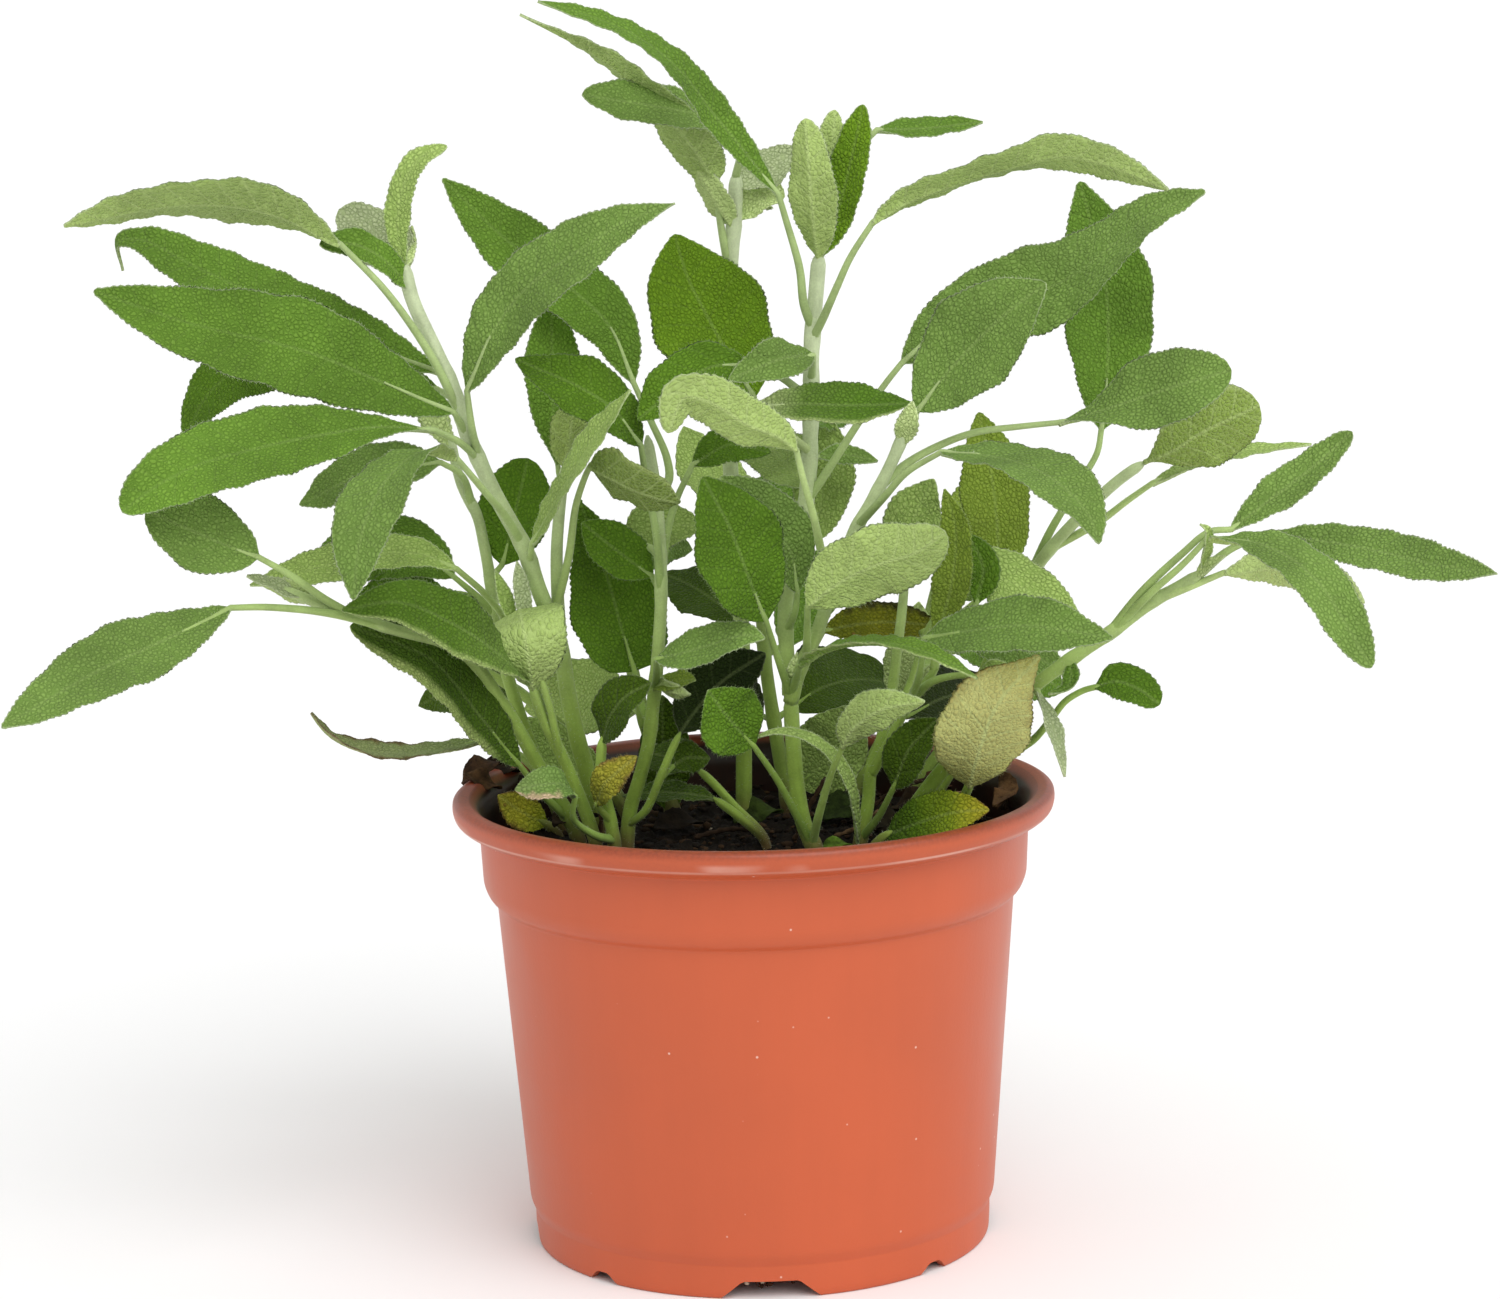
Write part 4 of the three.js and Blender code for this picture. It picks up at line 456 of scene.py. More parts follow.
    "right_low_stem": ("""
    1.7 1.25: 28 78 6, 35 90 13, 45 101 20, 56 110 24, 66 117 27, 72 120.9 29, 80 126.7 31,
    85 129.3 32, 90 132.3 33""", """
    R13: 41 96.5 17.5, 50 96.5 21, 55.5 98.9 23, 60 104 26, 62.5 107 28, 66 109 29 /
    68.3 109.6 30.3, 72.2 110.9 32, 77 109.2 34, 81.2 105.8 35 / 8.4 / 25 / 3 blunt;
    R13b: / 67 109.6 29, 63 110 32, 59 108.5 33 / 3.6 / 60 / 2 broad;
    R14: 55 109.2 24 / 56.9 109.3 26, 59.2 104.4 30.5, 61 98 35, 62.2 91.6 37.5 / 4.2 / 45 /
    7 broad;
    R10: 72 121.5 29, 80 128.8 35, 86 134 38 / 91 139.2 40, 100 138.4 46, 107.6 134.8 51,
    113.4 129.2 55, 117.8 122 58, 123.2 112.2 60 / 11 / 65 40 25 20 / 1 blunt;
    R10b: / 92.5 138.9 41, 90.8 140.8 42, 89.3 141.8 42 / 3 / 20 / 0 broad;
    R9: 70.5 121 28, 78 128.8 33, 86 136.2 35, 91 140.2 35.5 / 95.4 140.6 34, 103.2 146.6 32,
    111.2 152.6 30, 119.3 159.4 28 / 8.3 / 30 / 1 blunt;
    R11: 89 132 33, 95 136.5 32 / 101 139 32, 112 138.3 38, 124 136 47, 136 132.8 58, 147.9 130.6 69
    / 9.5 / 45 35 25 / 1 broad;
    R12: 80 127 31, 87 129.3 33 / 94 132 32, 103 133.3 31, 113 130.5 30, 121.8 125.4 28 / 9.5 / 140
    / 11 broad;
    R34: / 88 132.4 33, 91 133.8 36, 94.3 135.4 37 / 2.4 / 20 / 11 broad"""),
    "right_back_stem": ("""
    1.5 1.1: 34 78 -20, 40 95 -19, 46 112 -17, 52 125 -14, 56.6 133.4 -10, 61 139 -7, 69.5 147.6 -3,
    74 151.4 -1, 78.5 154.4 1""", """
    R4: 55 130 -11, 60 141.5 -10, 66.6 152 -11, 69.2 156.6 -11 / 70 161 -12, 71.2 170 -13,
    71.7 180 -14, 71.2 190 -14, 68.8 200 -14, 66.2 209.6 -14 / 18.4 / 12 / 2 broad;
    R6: / 78.5 154.4 1, 84.5 157.2 4, 90 160.6 6, 101 165.4 8 / 17 / 160 / 1 spoon;
    R7: 60 137.6 -8, 69.5 142.8 -6, 75 146.8 -4 / 80 150.2 -3, 87 153.7 -6, 96 156.2 -9,
    104 156.8 -11, 111.3 157.2 -12 / 6.6 / 65 / 0 broad"""),
    "yellow_leaf": ("""
    1.15 0.9: 34 77 7, 37.5 82 11, 42 88 18, 43.5 91.5 22""", """
    R15: / 43 89.5 21, 44.7 97 28, 49 107.5 33, 57.3 116.3 36 / 18.4 / 155 / 5 lance"""),
    "rim_leaf": ("""
    1.1 0.9: 23.5 77.5 15, 25.5 80 16.5, 27.5 81.3 18""", """
    R16: / 26 81 17, 33 83.2 22, 40 85 25, 47 85.2 26 / 10.5 / 20 / 4 broad"""),
    "old_leaf": ("""
    1.1 0.9: -39 80.5 -8, -41 84 -8, -43 85.3 -8""", """
    XX: / -41 84.5 -8, -46 87 -7, -51 90.5 -7 / 8 / 20 / 8 broad"""),
    "low_front_shoot": ("""
    1 0.8: 2.2 79.5 2, -3 85 4, -8 89 5;
    0.9 0.8: 2.2 80 2, -4 87.3 -1, -8 92 -4, -11 95 -7""", """
    A1: / -8 89 5, -14 90.3 2, -20 90.6 -1, -26 89.8 -4 / 7 / 50 / 6 broad;
    A3: / -11 95 -7, -16 97.5 -12, -22 99 -18 / 10 / 30 / 6 broad"""),
    "back_left_stem": ("""
    1.6 1: -16 83 -26, -20 100 -31, -24 118 -38, -27 134 -44, -28 144 -48""", """
    BL1: -21 105 -33 / -23 107 -37, -28 109 -44, -36 110.5 -54, -45 108 -64 / 16 / 20 / 0 broad;
    BL7: / -16.8 86 -27, -17.4 94 -25.5, -17.6 102 -24.5, -17.6 110 -24 / 12 / 20 / 6 broad;
    BL3: -24 118 -38 / -25 121 -44, -26 124 -55, -27 125 -66, -28 123 -74 / 13 / 20 / 3 broad;
    BL5: / -27 136 -44, -23 139.5 -54, -17 141 -64, -11 139 -73 / 12 / 20 / 1 broad;
    BL6: / -28 143 -48, -29.5 143 -57, -31 141 -66, -32 138 -74 / 11 / 20 / 3 broad"""),
    "back_middle_stem": ("""
    1.6 1: 7 84 -30, 5 100 -35, 3 116 -41, 2 132 -48, 0 146 -54""", """
    BM1: 4.5 104 -36.5 / 7.4 106.5 -41, 14 111.2 -48, 22 113 -58, 31 111 -68 / 21 / 20 / 6 broad;
    BM7: 6.6 88 -31 / 9 91 -27, 13 95 -23, 17 100 -20, 20.6 107 -18 / 16.5 / 20 / 0 broad;
    BM2: 4.5 104 -36.5 / 2 105.4 -42, -3.4 108.4 -50, -9 109.6 -60, -14 108 -69 / 15.5 / 20 /
    6 broad;
    BM3: 2.8 120 -42 / -1.6 124.4 -47, -6.4 128.8 -55, -11.6 132.4 -65, -17 134.6 -73 / 13.8 / 20 /
    6 broad;
    BM4: 2.8 118 -41.5 / 6.4 119.4 -46, 10 125 -52, 12.8 131.6 -60, 14.2 138.6 -68 / 13 / 20 /
    2 broad;
    BM5: / 0 146 -54, -4.5 151.5 -62, -9 157.5 -70, -12 163.5 -75 / 14 / 20 / 0 broad;
    BM6: / 0 146 -54, 5 149 -62, 9 152 -72 / 11 / 20 / 3 broad"""),
    "back_right_stem": ("""
    1.6 1: 19 84 -30, 26 100 -36, 33 116 -43, 37 130 -50, 40 142 -56""", """
    BR1: 30 104 -37.5 / 31 104.6 -39, 39 108.8 -50, 46.5 109.4 -61, 53 106 -71 / 16 / 20 / 6 broad;
    BR7: / 28.6 107 -39, 31 113 -35, 33 120 -33, 33.6 127.6 -33 / 12 / 20 / 11 broad;
    BR3: 33.7 118.5 -44 / 39 119.8 -49, 45 119.6 -58, 51 118 -67, 57 114.5 -75 / 12 / 20 / 2 broad;
    BR5: / 40 142 -56, 45 147 -63, 49 150 -70, 51 150 -75 / 11 / 20 / 9 broad;
    BR6: / 38 133 -51.5, 34 138 -60, 30 140 -68, 26 139 -75 / 11 / 20 / 3 broad"""),
    "far_left_stem": ("""
    1.5 1: -25 82 -25, -33 98 -32, -42 108 -42, -50 114 -51, -57 118 -58""", """
    FL1: / -57 116 -57, -63 121 -63, -69 127 -69, -74 132 -75 / 13 / 20 / 6 broad;
    FL2: / -46 113 -47, -53 113 -57, -60 112 -66, -66 109 -73 / 12 / 20 / 6 broad;
    FL3: / -29 90 -28.4, -36 96 -25, -42 102 -23.6, -48 105 -23.4 / 12 / 20 / 0 broad"""),
    "far_right_stem": ("""
    1.5 1: 30 82 -27, 38 98 -33, 46 108 -42, 53 115 -50, 58 119 -56""", """
    FR1: / 58 120 -56, 55 126 -62, 49 131 -69, 43 133 -75 / 10 / 20 / 11 broad;
    FR2: / 50 112.5 -48, 54.5 112.8 -56, 58.5 111.6 -64, 62 109 -71 / 11 / 20 / 3 broad"""),
}


def numbers(text):
    """The numbers of a row of the lists."""
    return [float(word) for word in text.split()]


def points_in(text):
    """The points of a row of the lists, with a comma between two of them."""
    return [numbers(point) for point in text.split(",")] if text.strip() else []


def linear(colour):
    """An sRGB colour of 0 to 255 as linear values of 0 to 1."""
    c = np.asarray(colour, float) / 255
    return np.where(c <= 0.04045, c / 12.92, ((c + 0.055) / 1.055) ** 2.4)


def place(points):
    """Front view points [across, up, near] in the part's frame, in millimetres."""
    p = np.asarray(points, float).reshape(-1, 3)
    scale = 1 - p[:, 2] / VIEW_DISTANCE
    return np.c_[p[:, 0] * scale, -p[:, 2], VIEW_HEIGHT + (p[:, 1] - VIEW_HEIGHT) * scale]


def unit(v):
    return v / np.maximum(np.linalg.norm(v, axis=-1, keepdims=True), 1e-9)


def smoothstep(low, high, x):
    t = np.clip((x - low) / (high - low), 0, 1)
    return t * t * (3 - 2 * t)


def spline(points, step, least=2):
    """A centripetal Catmull-Rom curve through the points: points at even steps, and its length."""
    p = np.asarray(points, float)
    p = np.vstack([2 * p[0] - p[1], p, 2 * p[-1] - p[-2]])
    chord = np.maximum(np.linalg.norm(np.diff(p, axis=0), axis=1), 1e-6)
    knot = np.r_[0, np.cumsum(np.sqrt(chord))]
    runs = []
    for i in range(1, len(p) - 2):
        t = np.linspace(knot[i], knot[i + 1], CURVE_POINTS, endpoint=False)[:, None]

        def between(a, b, ta, tb):
            return a * (tb - t) / (tb - ta) + b * (t - ta) / (tb - ta)

        a1, a2, a3 = (between(p[k - 1], p[k], knot[k - 1], knot[k]) for k in (i, i + 1, i + 2))
        b1 = between(a1, a2, knot[i - 1], knot[i + 1])
        b2 = between(a2, a3, knot[i], knot[i + 2])
        runs.append(between(b1, b2, knot[i], knot[i + 1]))
    fine = np.vstack([*runs, p[-2]])
    length = np.r_[0, np.cumsum(np.linalg.norm(np.diff(fine, axis=0), axis=1))]
    count = max(least, int(round(length[-1] / step)))
    at = np.linspace(0, length[-1], count + 1)
    return np.stack([np.interp(at, length, fine[:, k]) for k in range(3)], 1), length[-1]


def tangents(points):
    return unit(np.vstack([points[1:], points[-1:]]) - np.vstack([points[:1], points[:-1]]))


def carried(start, along):
    """A direction carried along a curve, kept square to it."""
    out = [unit(start - along[0] * (start @ along[0]))]
    for way in along[1:]:
        out.append(unit(out[-1] - way * (out[-1] @ way)))
    return np.array(out)


def upper_sides(points, along, rolls):
    """Upper side of a blade at each point: it faces the viewer, turned by the roll."""
    eye = unit(np.array([0, -VIEW_DISTANCE, VIEW_HEIGHT]) - points)
    start = int(np.argmin(np.abs((along * eye).sum(1))))
    facing = np.vstack([
        carried(eye[start], along[start::-1])[:0:-1],
        carried(eye[start], along[start:]),
    ])
    lifted = np.cross(along, facing)
    if lifted[:, 2].mean() < 0:
        lifted = -lifted
    roll = np.radians(np.interp(
        np.linspace(0, 1, len(points)), np.linspace(0, 1, len(rolls)), rolls))[:, None]
    return facing * np.cos(roll) + lifted * np.sin(roll)


def rings_round(path, along, out, radius, sides, shape):
    """Rings of points round a path, with a radius at each point and a shape by angle."""
    side = np.cross(out, along)
    angle = np.arange(sides) / sides * 2 * np.pi
    ring = (side[:, None] * np.cos(angle)[None, :, None]
            + out[:, None] * np.sin(angle)[None, :, None]) * shape(angle)[None, :, None]
    return path[:, None] + ring * radius[:, None, None]


def turned_by(x, y, angle):
    c, s = math.cos(angle), math.sin(angle)
    return x * c - y * s, x * s + y * c


class Mesh:
    """Collects closed skins with their colours and coordinates, and makes one object of them."""

    def __init__(self):
        self.points, self.faces, self.slots = [], [], []
        self.values = {"tint": [], "grain": [], "side": []}
        self.count = 0

    def add(self, points, faces, slot, tint, grain=NONE, side=NONE):
        points = np.asarray(points).reshape(-1, 3)
        n = len(points)
        self.points.append(points)
        self.faces.append(np.asarray(faces) + self.count)
        self.slots.append(np.full(len(faces), slot))
        for key, value in (("tint", tint), ("grain", grain), ("side", side)):
            self.values[key].append(np.broadcast_to(value, (n, 3)))
        self.count += n

    def tube(self, rings, slot, tint, grain=NONE, side=NONE):
        """A closed skin over rings of points, with a fan of triangles at each end."""
        n, sides = rings.shape[:2]
        ring, k = np.meshgrid(np.arange(n - 1), np.arange(sides), indexing="ij")
        a = (ring * sides + k).ravel()
        b = (ring * sides + (k + 1) % sides).ravel()
        walls = np.vstack([np.c_[a, b, b + sides], np.c_[a, b + sides, a + sides]])
        fan = np.arange(1, sides - 1)
        zero = np.zeros_like(fan)
        last = (n - 1) * sides
        ends = np.vstack([np.c_[zero, fan + 1, fan],
                          np.c_[zero + last, last + fan, last + fan + 1]])
        self.add(rings, np.vstack([walls, ends]), slot, tint, grain, side)

    def spikes(self, roots, ways, lengths, radius, tint):
        """Fine hairs: thin three-sided cones."""
        helper = np.where(np.abs(ways[:, 2:]) < 0.8, [[0, 0, 1.0]], [[1.0, 0, 0]])
        u = unit(np.cross(ways, helper))
        v = np.cross(ways, u)
        corners = [roots - ways * 0.1 + (u * math.cos(a) + v * math.sin(a)) * radius
                   for a in (0, 2.1, 4.2)]
        points = np.stack([*corners, roots + ways * lengths[:, None]], 1)
        base = np.arange(len(roots))[:, None, None] * 4
        faces = (base + np.array([[0, 2, 1], [0, 1, 3], [1, 2, 3], [2, 0, 3]])).reshape(-1, 3)
        self.add(points, faces, 1, tint, side=BARE)

    def make(self, name, materials=()):
        points = np.vstack(self.points) * MM
        faces = np.vstack(self.faces).astype(np.int32)
        data = bpy.data.meshes.new(name)
        data.vertices.add(len(points))
        data.vertices.foreach_set("co", points.astype(np.float32).ravel())
        data.loops.add(faces.size)
        data.loops.foreach_set("vertex_index", faces.ravel())
        data.polygons.add(len(faces))
        data.polygons.foreach_set("loop_start", np.arange(0, faces.size, 3, dtype=np.int32))
        data.polygons.foreach_set("material_index", np.concatenate(self.slots).astype(np.int32))
        data.polygons.foreach_set("use_smooth", np.ones(len(faces), bool))
        for key, rows in self.values.items():
            rows = np.vstack(rows)
            if key == "tint":
                layer = data.color_attributes.new(key, "FLOAT_COLOR", "POINT")
                layer.data.foreach_set("color", np.c_[rows, np.ones(len(rows))].ravel())
            else:
                layer = data.attributes.new(key, "FLOAT_VECTOR", "POINT")
                layer.data.foreach_set("vector", rows.ravel())
        data.update()
        data.validate()
        for material in materials:
            data.materials.append(material)
        return linked(name, data)


def linked(name, data):
    thing = bpy.data.objects.new(name, data)
    bpy.context.collection.objects.link(thing)
    return thing


def half_width(t, width, form):
    widest, base, tip = FORMS[form]
    return width / 2 * np.sin(np.pi * np.clip(t, 0, 1) ** widest) ** (base + (tip - base) * t)


def relief(along, across, length, seed):
    """Height of the upper face over the blade's plain shape: veins sunk in, quilted between."""
    beside = np.abs(across)
    slanted = along - VEIN_SLANT * beside + VEIN_BEND * beside ** 2
    vein = slanted / VEIN_PITCH + np.where(across > 0, 0.5, 0.0) + seed
    off = np.abs(vein - np.round(vein)) * VEIN_PITCH
    shrink = np.clip(1.3 - along / max(length, 1), 0.3, 1)
    groove = -VEIN_DEPTH * np.exp(-(off / 0.4) ** 2) * smoothstep(0.2, 0.9, beside)
    quilt = QUILT * np.sin(along * 4.1 + seed * 9) * np.sin(across * 3.7 + along * 0.9)
    midrib = -MIDRIB_DEPTH * np.exp(-(beside / 0.45) ** 2)
    return (groove + quilt + midrib) * shrink


def leaf_edge(t, far, length, width, form, seed):
    """Half width of a blade along its length, with a stalk's width at its foot and a round tip."""
    half = np.maximum(half_width(t, width, form), 0.18 + 0.35 * (1 - t) ** 2)
    blunt = min(TIP_RADIUS * width, 0.4 * length)
    blunt = min(blunt, 0.8 * np.interp(length - blunt, far, half))
    cap = np.clip((length - far) / blunt, 0, 1)
    half = np.maximum(half, blunt * np.sqrt(cap * (2 - cap)) * (far > length - blunt))
    return half * (1 + BLADE_RIPPLE * np.sin(far * 0.55 + seed * 40) * np.sin(np.pi * t))


def leaf_tints(label, tone, t, far, seed):
    """Colours of the upper and lower face of a blade, at each point along it and across it."""
    marked = label in MARKS
    colours = MARKS[label][0] if marked else [TONES[tone] if isinstance(tone, int) else tone]
    steps = np.linspace(0, 1, len(colours))
    tint = np.stack([np.interp(t, steps, linear(colours)[:, k]) for k in range(3)], -1)
    tint = tint[:, None] * (0.94 + 0.12 * ((seed * 7.3) % 1)) * np.ones((1, len(ACROSS), 1))
    if marked:
        _, dry, which, share, since = MARKS[label]
        torn = 0.5 if dry[0] > dry[1] else 0.12
        ragged = share * (1 + torn * np.sin(far * 1.9) * np.sin(far * 0.7))
        outward = ACROSS * which if which else np.abs(ACROSS)
        margin = smoothstep(1 - ragged - 0.12, 1 - ragged + 0.12, outward[None, :])
        margin = (margin * smoothstep(since - 0.05, since + 0.08, t)[:, None])[..., None]
        tint = tint * (1 - margin) + linear(dry) * margin
    below = tint[:, UNDER]
    if not marked and isinstance(tone, int):
        below = below * 0.3 + linear(UNDERSIDE) * (0.92 + 0.1 * seed) * 0.7
    return tint, below


def add_leaf(mesh, label, stalk, midrib, width, rolls, tone, form, order, step):
    seed = (order * 0.618 + len(label) * 0.21) % 1
    points, length = spline(midrib, step, 12)
    along = tangents(points)
    upper = upper_sides(points, along, rolls)
    sideways = np.cross(along, upper)
    t = np.linspace(0, 1, len(points))
    half = leaf_edge(t, t * length, length, width, form, seed)[:, None]
    far = (t * length)[:, None]
    c = ACROSS[None, :]
    side = np.sign(c)
    wave = np.sin(2 * np.pi * (WAVES * t[:, None] + order * 0.37 % 1 + side * 0.2))
    curl = BLADE_CURL * np.sin(far * 1.1 + seed * 20 + side * 1.7) * np.abs(c) ** 4
    lift = half * (BLADE_CUP + BLADE_WAVE * wave) * np.abs(c) ** 1.25
    lift = lift + curl * smoothstep(0, 3, half) - BLADE_SINK * BLADE_CUP * half
    teeth = np.abs(np.sin(np.pi * (far + side * 0.3) / TOOTH_PITCH)) - 0.6
    across = c * (half + TOOTH_DEPTH * teeth * smoothstep(0.5, 2.5, half) * np.abs(c) ** 7)
    bumps = relief(far, across, length, seed) * smoothstep(0.4, 2.5, half)
    thick = BLADE_THICK / 2 * (1 - 0.75 * np.abs(c) ** 6)
    rib = (0.15 + 0.55 * (1 - t[:, None])) * np.exp(-(across / 0.55) ** 2)
    centre = points[:, None] + sideways[:, None] * across[..., None]
    top = centre + upper[:, None] * (lift + bumps * 0.6 + thick)[..., None]
    under = centre + upper[:, None] * (lift + bumps * 1.3 - thick - rib)[..., None]
    tint, below = leaf_tints(label, tone, t, far, seed)
    fringe = 0.0 if label in SPOTTED else 0.3 if tone in DARK_TONES or label in MARKS else 1.0
    where = np.stack([far + 0 * across, across, np.full_like(across, seed * SEED_SPREAD)], -1)
    looks = np.stack([np.ones_like(across), (1 - np.abs(c)) * half, np.full_like(across, fringe)],
                     -1)
    folded = [np.concatenate([upward, downward], 1) for upward, downward in (
        (top, under[:, UNDER]), (tint, below), (where, where[:, UNDER]),
        (looks, looks[:, UNDER] * (0, 1, 1)))]
    mesh.tube(folded[0], 0, *(rows.reshape(-1, 3) for rows in folded[1:]))
    if step == FRONT_STEP:
        add_margin_hairs(mesh, top, sideways, half[:, 0], folded[1].reshape(-1, 3).mean(0),
                         0.25 if fringe < 1 else 0.55)
    if len(stalk):
        add_stalk(mesh, stalk, points, upper, tint[0, 0])


def add_margin_hairs(mesh, top, sideways, half, tint, pale):
    rows = np.flatnonzero(half > 0.8)
    n = len(rows)
    for column, way in ((0, -1), (-1, 1)):
        roots = top[rows, column] + rng.normal(0, 0.08, (n, 3))
        ways = unit(sideways[rows] * way + rng.normal(0, 0.35, (n, 3)))
        mesh.spikes(roots, ways, rng.uniform(*MARGIN_HAIR, n), MARGIN_HAIR_RADIUS,
                    tint * (1 - pale) + linear(MARGIN_PALE) * pale)


def add_fuzz(mesh, path, radius, density, tint):
    """Short hairs that stand out all round a stem or stalk."""
    length = np.linalg.norm(np.diff(path, axis=0), axis=1).sum()
    n = int(length * density)
    if n < 1:
        return
    at = rng.uniform(0, len(path) - 1.001, n)
    low = at.astype(int)
    share = (at - low)[:, None]
    centre = path[low] * (1 - share) + path[low + 1] * share
    along = tangents(path)[low]
    out = unit(np.cross(along, rng.normal(0, 1, (n, 3))))
    ways = unit(out + along * rng.normal(0, 0.3, (n, 1)))
    roots = centre + out * (radius[low][:, None] * 0.95)
    mesh.spikes(roots, ways, rng.uniform(*FUZZ_HAIR, n), FUZZ_HAIR_RADIUS,
                tint * 0.4 + linear(FUZZ_PALE) * 0.6)


def add_stalk(mesh, stalk, blade, upper, tint):
    """The stalk, which runs on under the blade as the foot of its midrib."""
    into = max(3, int(len(blade) * 0.22))
    points, _ = spline(np.vstack([stalk, blade[0]]), STEM_STEP, 3)
    share = np.linspace(0, 1, into)[:, None]
    below = blade[:into] - upper[:into] * 0.5 * smoothstep(0, 0.5, share)
    path = np.vstack([points[:-1], below])
    along = tangents(path)
    out = carried(upper[0], along[::-1])[::-1]
    radius = np.r_[np.linspace(STALK_BASE, STALK_END, len(points) - 1),
                   np.linspace(STALK_END, 0.2, into)]
    rings = rings_round(path, along, out, radius, STALK_SIDES, lambda angle: (
        1 - STALK_GROOVE * np.exp(-((angle - np.pi / 2) / 0.5) ** 2)))
    high = smoothstep(*STALK_PALES, np.broadcast_to(path[:, None, 2], rings.shape[:2]))[..., None]
    pale = linear(STALK_LOW) * (1 - high) + linear(STALK_HIGH) * high
    mesh.tube(rings, 1, (tint * 0.3 + pale * 0.7).reshape(-1, 3), side=BARE)
    add_fuzz(mesh, path, radius, STALK_FUZZ, pale.mean((0, 1)))


def add_stem(mesh, base, tip, points, joints, fine):
    path, length = spline(points, STEM_STEP, 4)
    along = tangents(path)
    out = carried(STEM_FRONT, along)
    at = np.linspace(0, 1, len(path))
    swell = np.zeros(len(path))
    for joint in joints:
        gap = np.linalg.norm(path - joint, axis=1)
        size = JOINT_SWELL * smoothstep(3, 9, np.linalg.norm(path[-1] - joint))
        swell = np.maximum(swell, size * np.exp(-(gap / 1.7) ** 2))
    ahead = np.clip(length * (1 - at) / 2.5, 0, 1)
    radius = (base + (tip - base) * at) * (1 + swell) * np.clip(0.25 + np.sqrt(ahead) * 0.75, 0, 1)
    rings = rings_round(path, along, out, radius, STEM_SIDES,
                        lambda angle: 1 + STEM_SQUARE * np.cos(4 * angle))
    height = np.broadcast_to(path[:, None, 2], rings.shape[:2])
    low = smoothstep(*STEM_GREENS, height)[..., None]
    high = smoothstep(*STEM_PALES, height)[..., None]
    colour = linear(STEM_FOOT) * (1 - low) + low * (
        linear(STEM_LOW) * (1 - high) + linear(STEM_HIGH) * high)
    # Stems at the back are painted 0.7 times as dark: painted shade
    mesh.tube(rings, 1, (colour if fine else colour * 0.7).reshape(-1, 3), side=BARE)
    if fine:
        add_fuzz(mesh, path, radius, STEM_FUZZ, linear(STEM_HAIR))


def make_growth(name, axes, leaves, materials):
    """One leafy stem. The hidden ones at the back have no hairs and longer steps."""
    mesh = Mesh()
    fine = not name.startswith(("back_", "far_"))
    lines = []
    for axis in axes.split(";"):
        radii, listed = axis.split(":")
        points = place(points_in(listed))
        if points[0, 2] < SOIL_TOP + 5:
            points[0, 2] = max(points[0, 2], SOIL_TOP + 0.6)
            points = np.vstack([points[0] - [0, 0, ROOT_DEPTH], points])
        lines.append((*numbers(radii), points))
    dense = np.vstack([spline(points[1:] if len(points) > 2 else points, 1)[0]
                       for _, _, points in lines])
    joints = []
    for order, leaf in enumerate(leaves.split(";")):
        label, shape = leaf.strip().split(":")
        stalk, midrib, width, rolls, look = shape.split("/")
        tone, form = look.split()
        stalk, midrib = place(points_in(stalk)), place(points_in(midrib))
        first = stalk if len(stalk) else midrib
        first[0] = dense[np.argmin(np.linalg.norm(dense - first[0], axis=1))]
        joints.append(first[0])
        add_leaf(mesh, label, stalk, midrib, float(width), numbers(rolls), int(tone), form, order,
                 FRONT_STEP if fine else BACK_STEP)
    for base, tip, points in lines:
        add_stem(mesh, base, tip, points, joints, fine)
    piece = mesh.make(name + "_growth", materials)
    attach(piece, "root")
    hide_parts(name)


def rounded(profile, step=4):
    """A profile of (radius, height, rounding) with each corner turned into a short arc."""
    out = []
    for i, (r, z, size) in enumerate(profile):
        here = np.array([r, z], float)
        if size == 0:
            out.append(here)
            continue
        before = np.array(profile[i - 1][:2], float) - here
        after = np.array(profile[i + 1][:2], float) - here
        cut = min(size, np.linalg.norm(before) * 0.45, np.linalg.norm(after) * 0.45)
        a, b = here + unit(before) * cut, here + unit(after) * cut
        for t in np.linspace(0, 1, step + 1):
            out.append(a * (1 - t) ** 2 + 2 * here * t * (1 - t) + b * t ** 2)
    return np.array(out)


def round_rings(radii, heights, sides):
    """Level rings of points round the pot's axis, one for each radius and height."""
    angle = np.arange(sides) / sides * 2 * np.pi
    return np.stack([np.outer(radii, np.cos(angle)), np.outer(radii, np.sin(angle)),
                     np.repeat(np.asarray(heights, float)[:, None], sides, 1)], -1)


def face_outwards(thing):
    work = bmesh.new()
    work.from_mesh(thing.data)
    bmesh.ops.recalc_face_normals(work, faces=work.faces)
    work.to_mesh(thing.data)
    work.free()


def closed(name, rings, materials=(), slot_of=None):
    """A closed skin over rings. Its faces have the first material, or the one that slot_of says."""
    mesh = Mesh()
    mesh.tube(rings, 0, (1, 1, 1))
    if slot_of:
        mesh.slots = [slot_of(mesh.faces[0].min(1) // rings.shape[1])]
    thing = mesh.make(name, materials)
    face_outwards(thing)
    return thing


def gaps():
    """Direction and size of each gap in the foot."""
    for gap in range(GAP_COUNT):
        yield (math.radians(FIRST_GAP + gap * 360 / GAP_COUNT),
               WIDE_GAP if gap % 2 == 0 else NARROW_GAP)


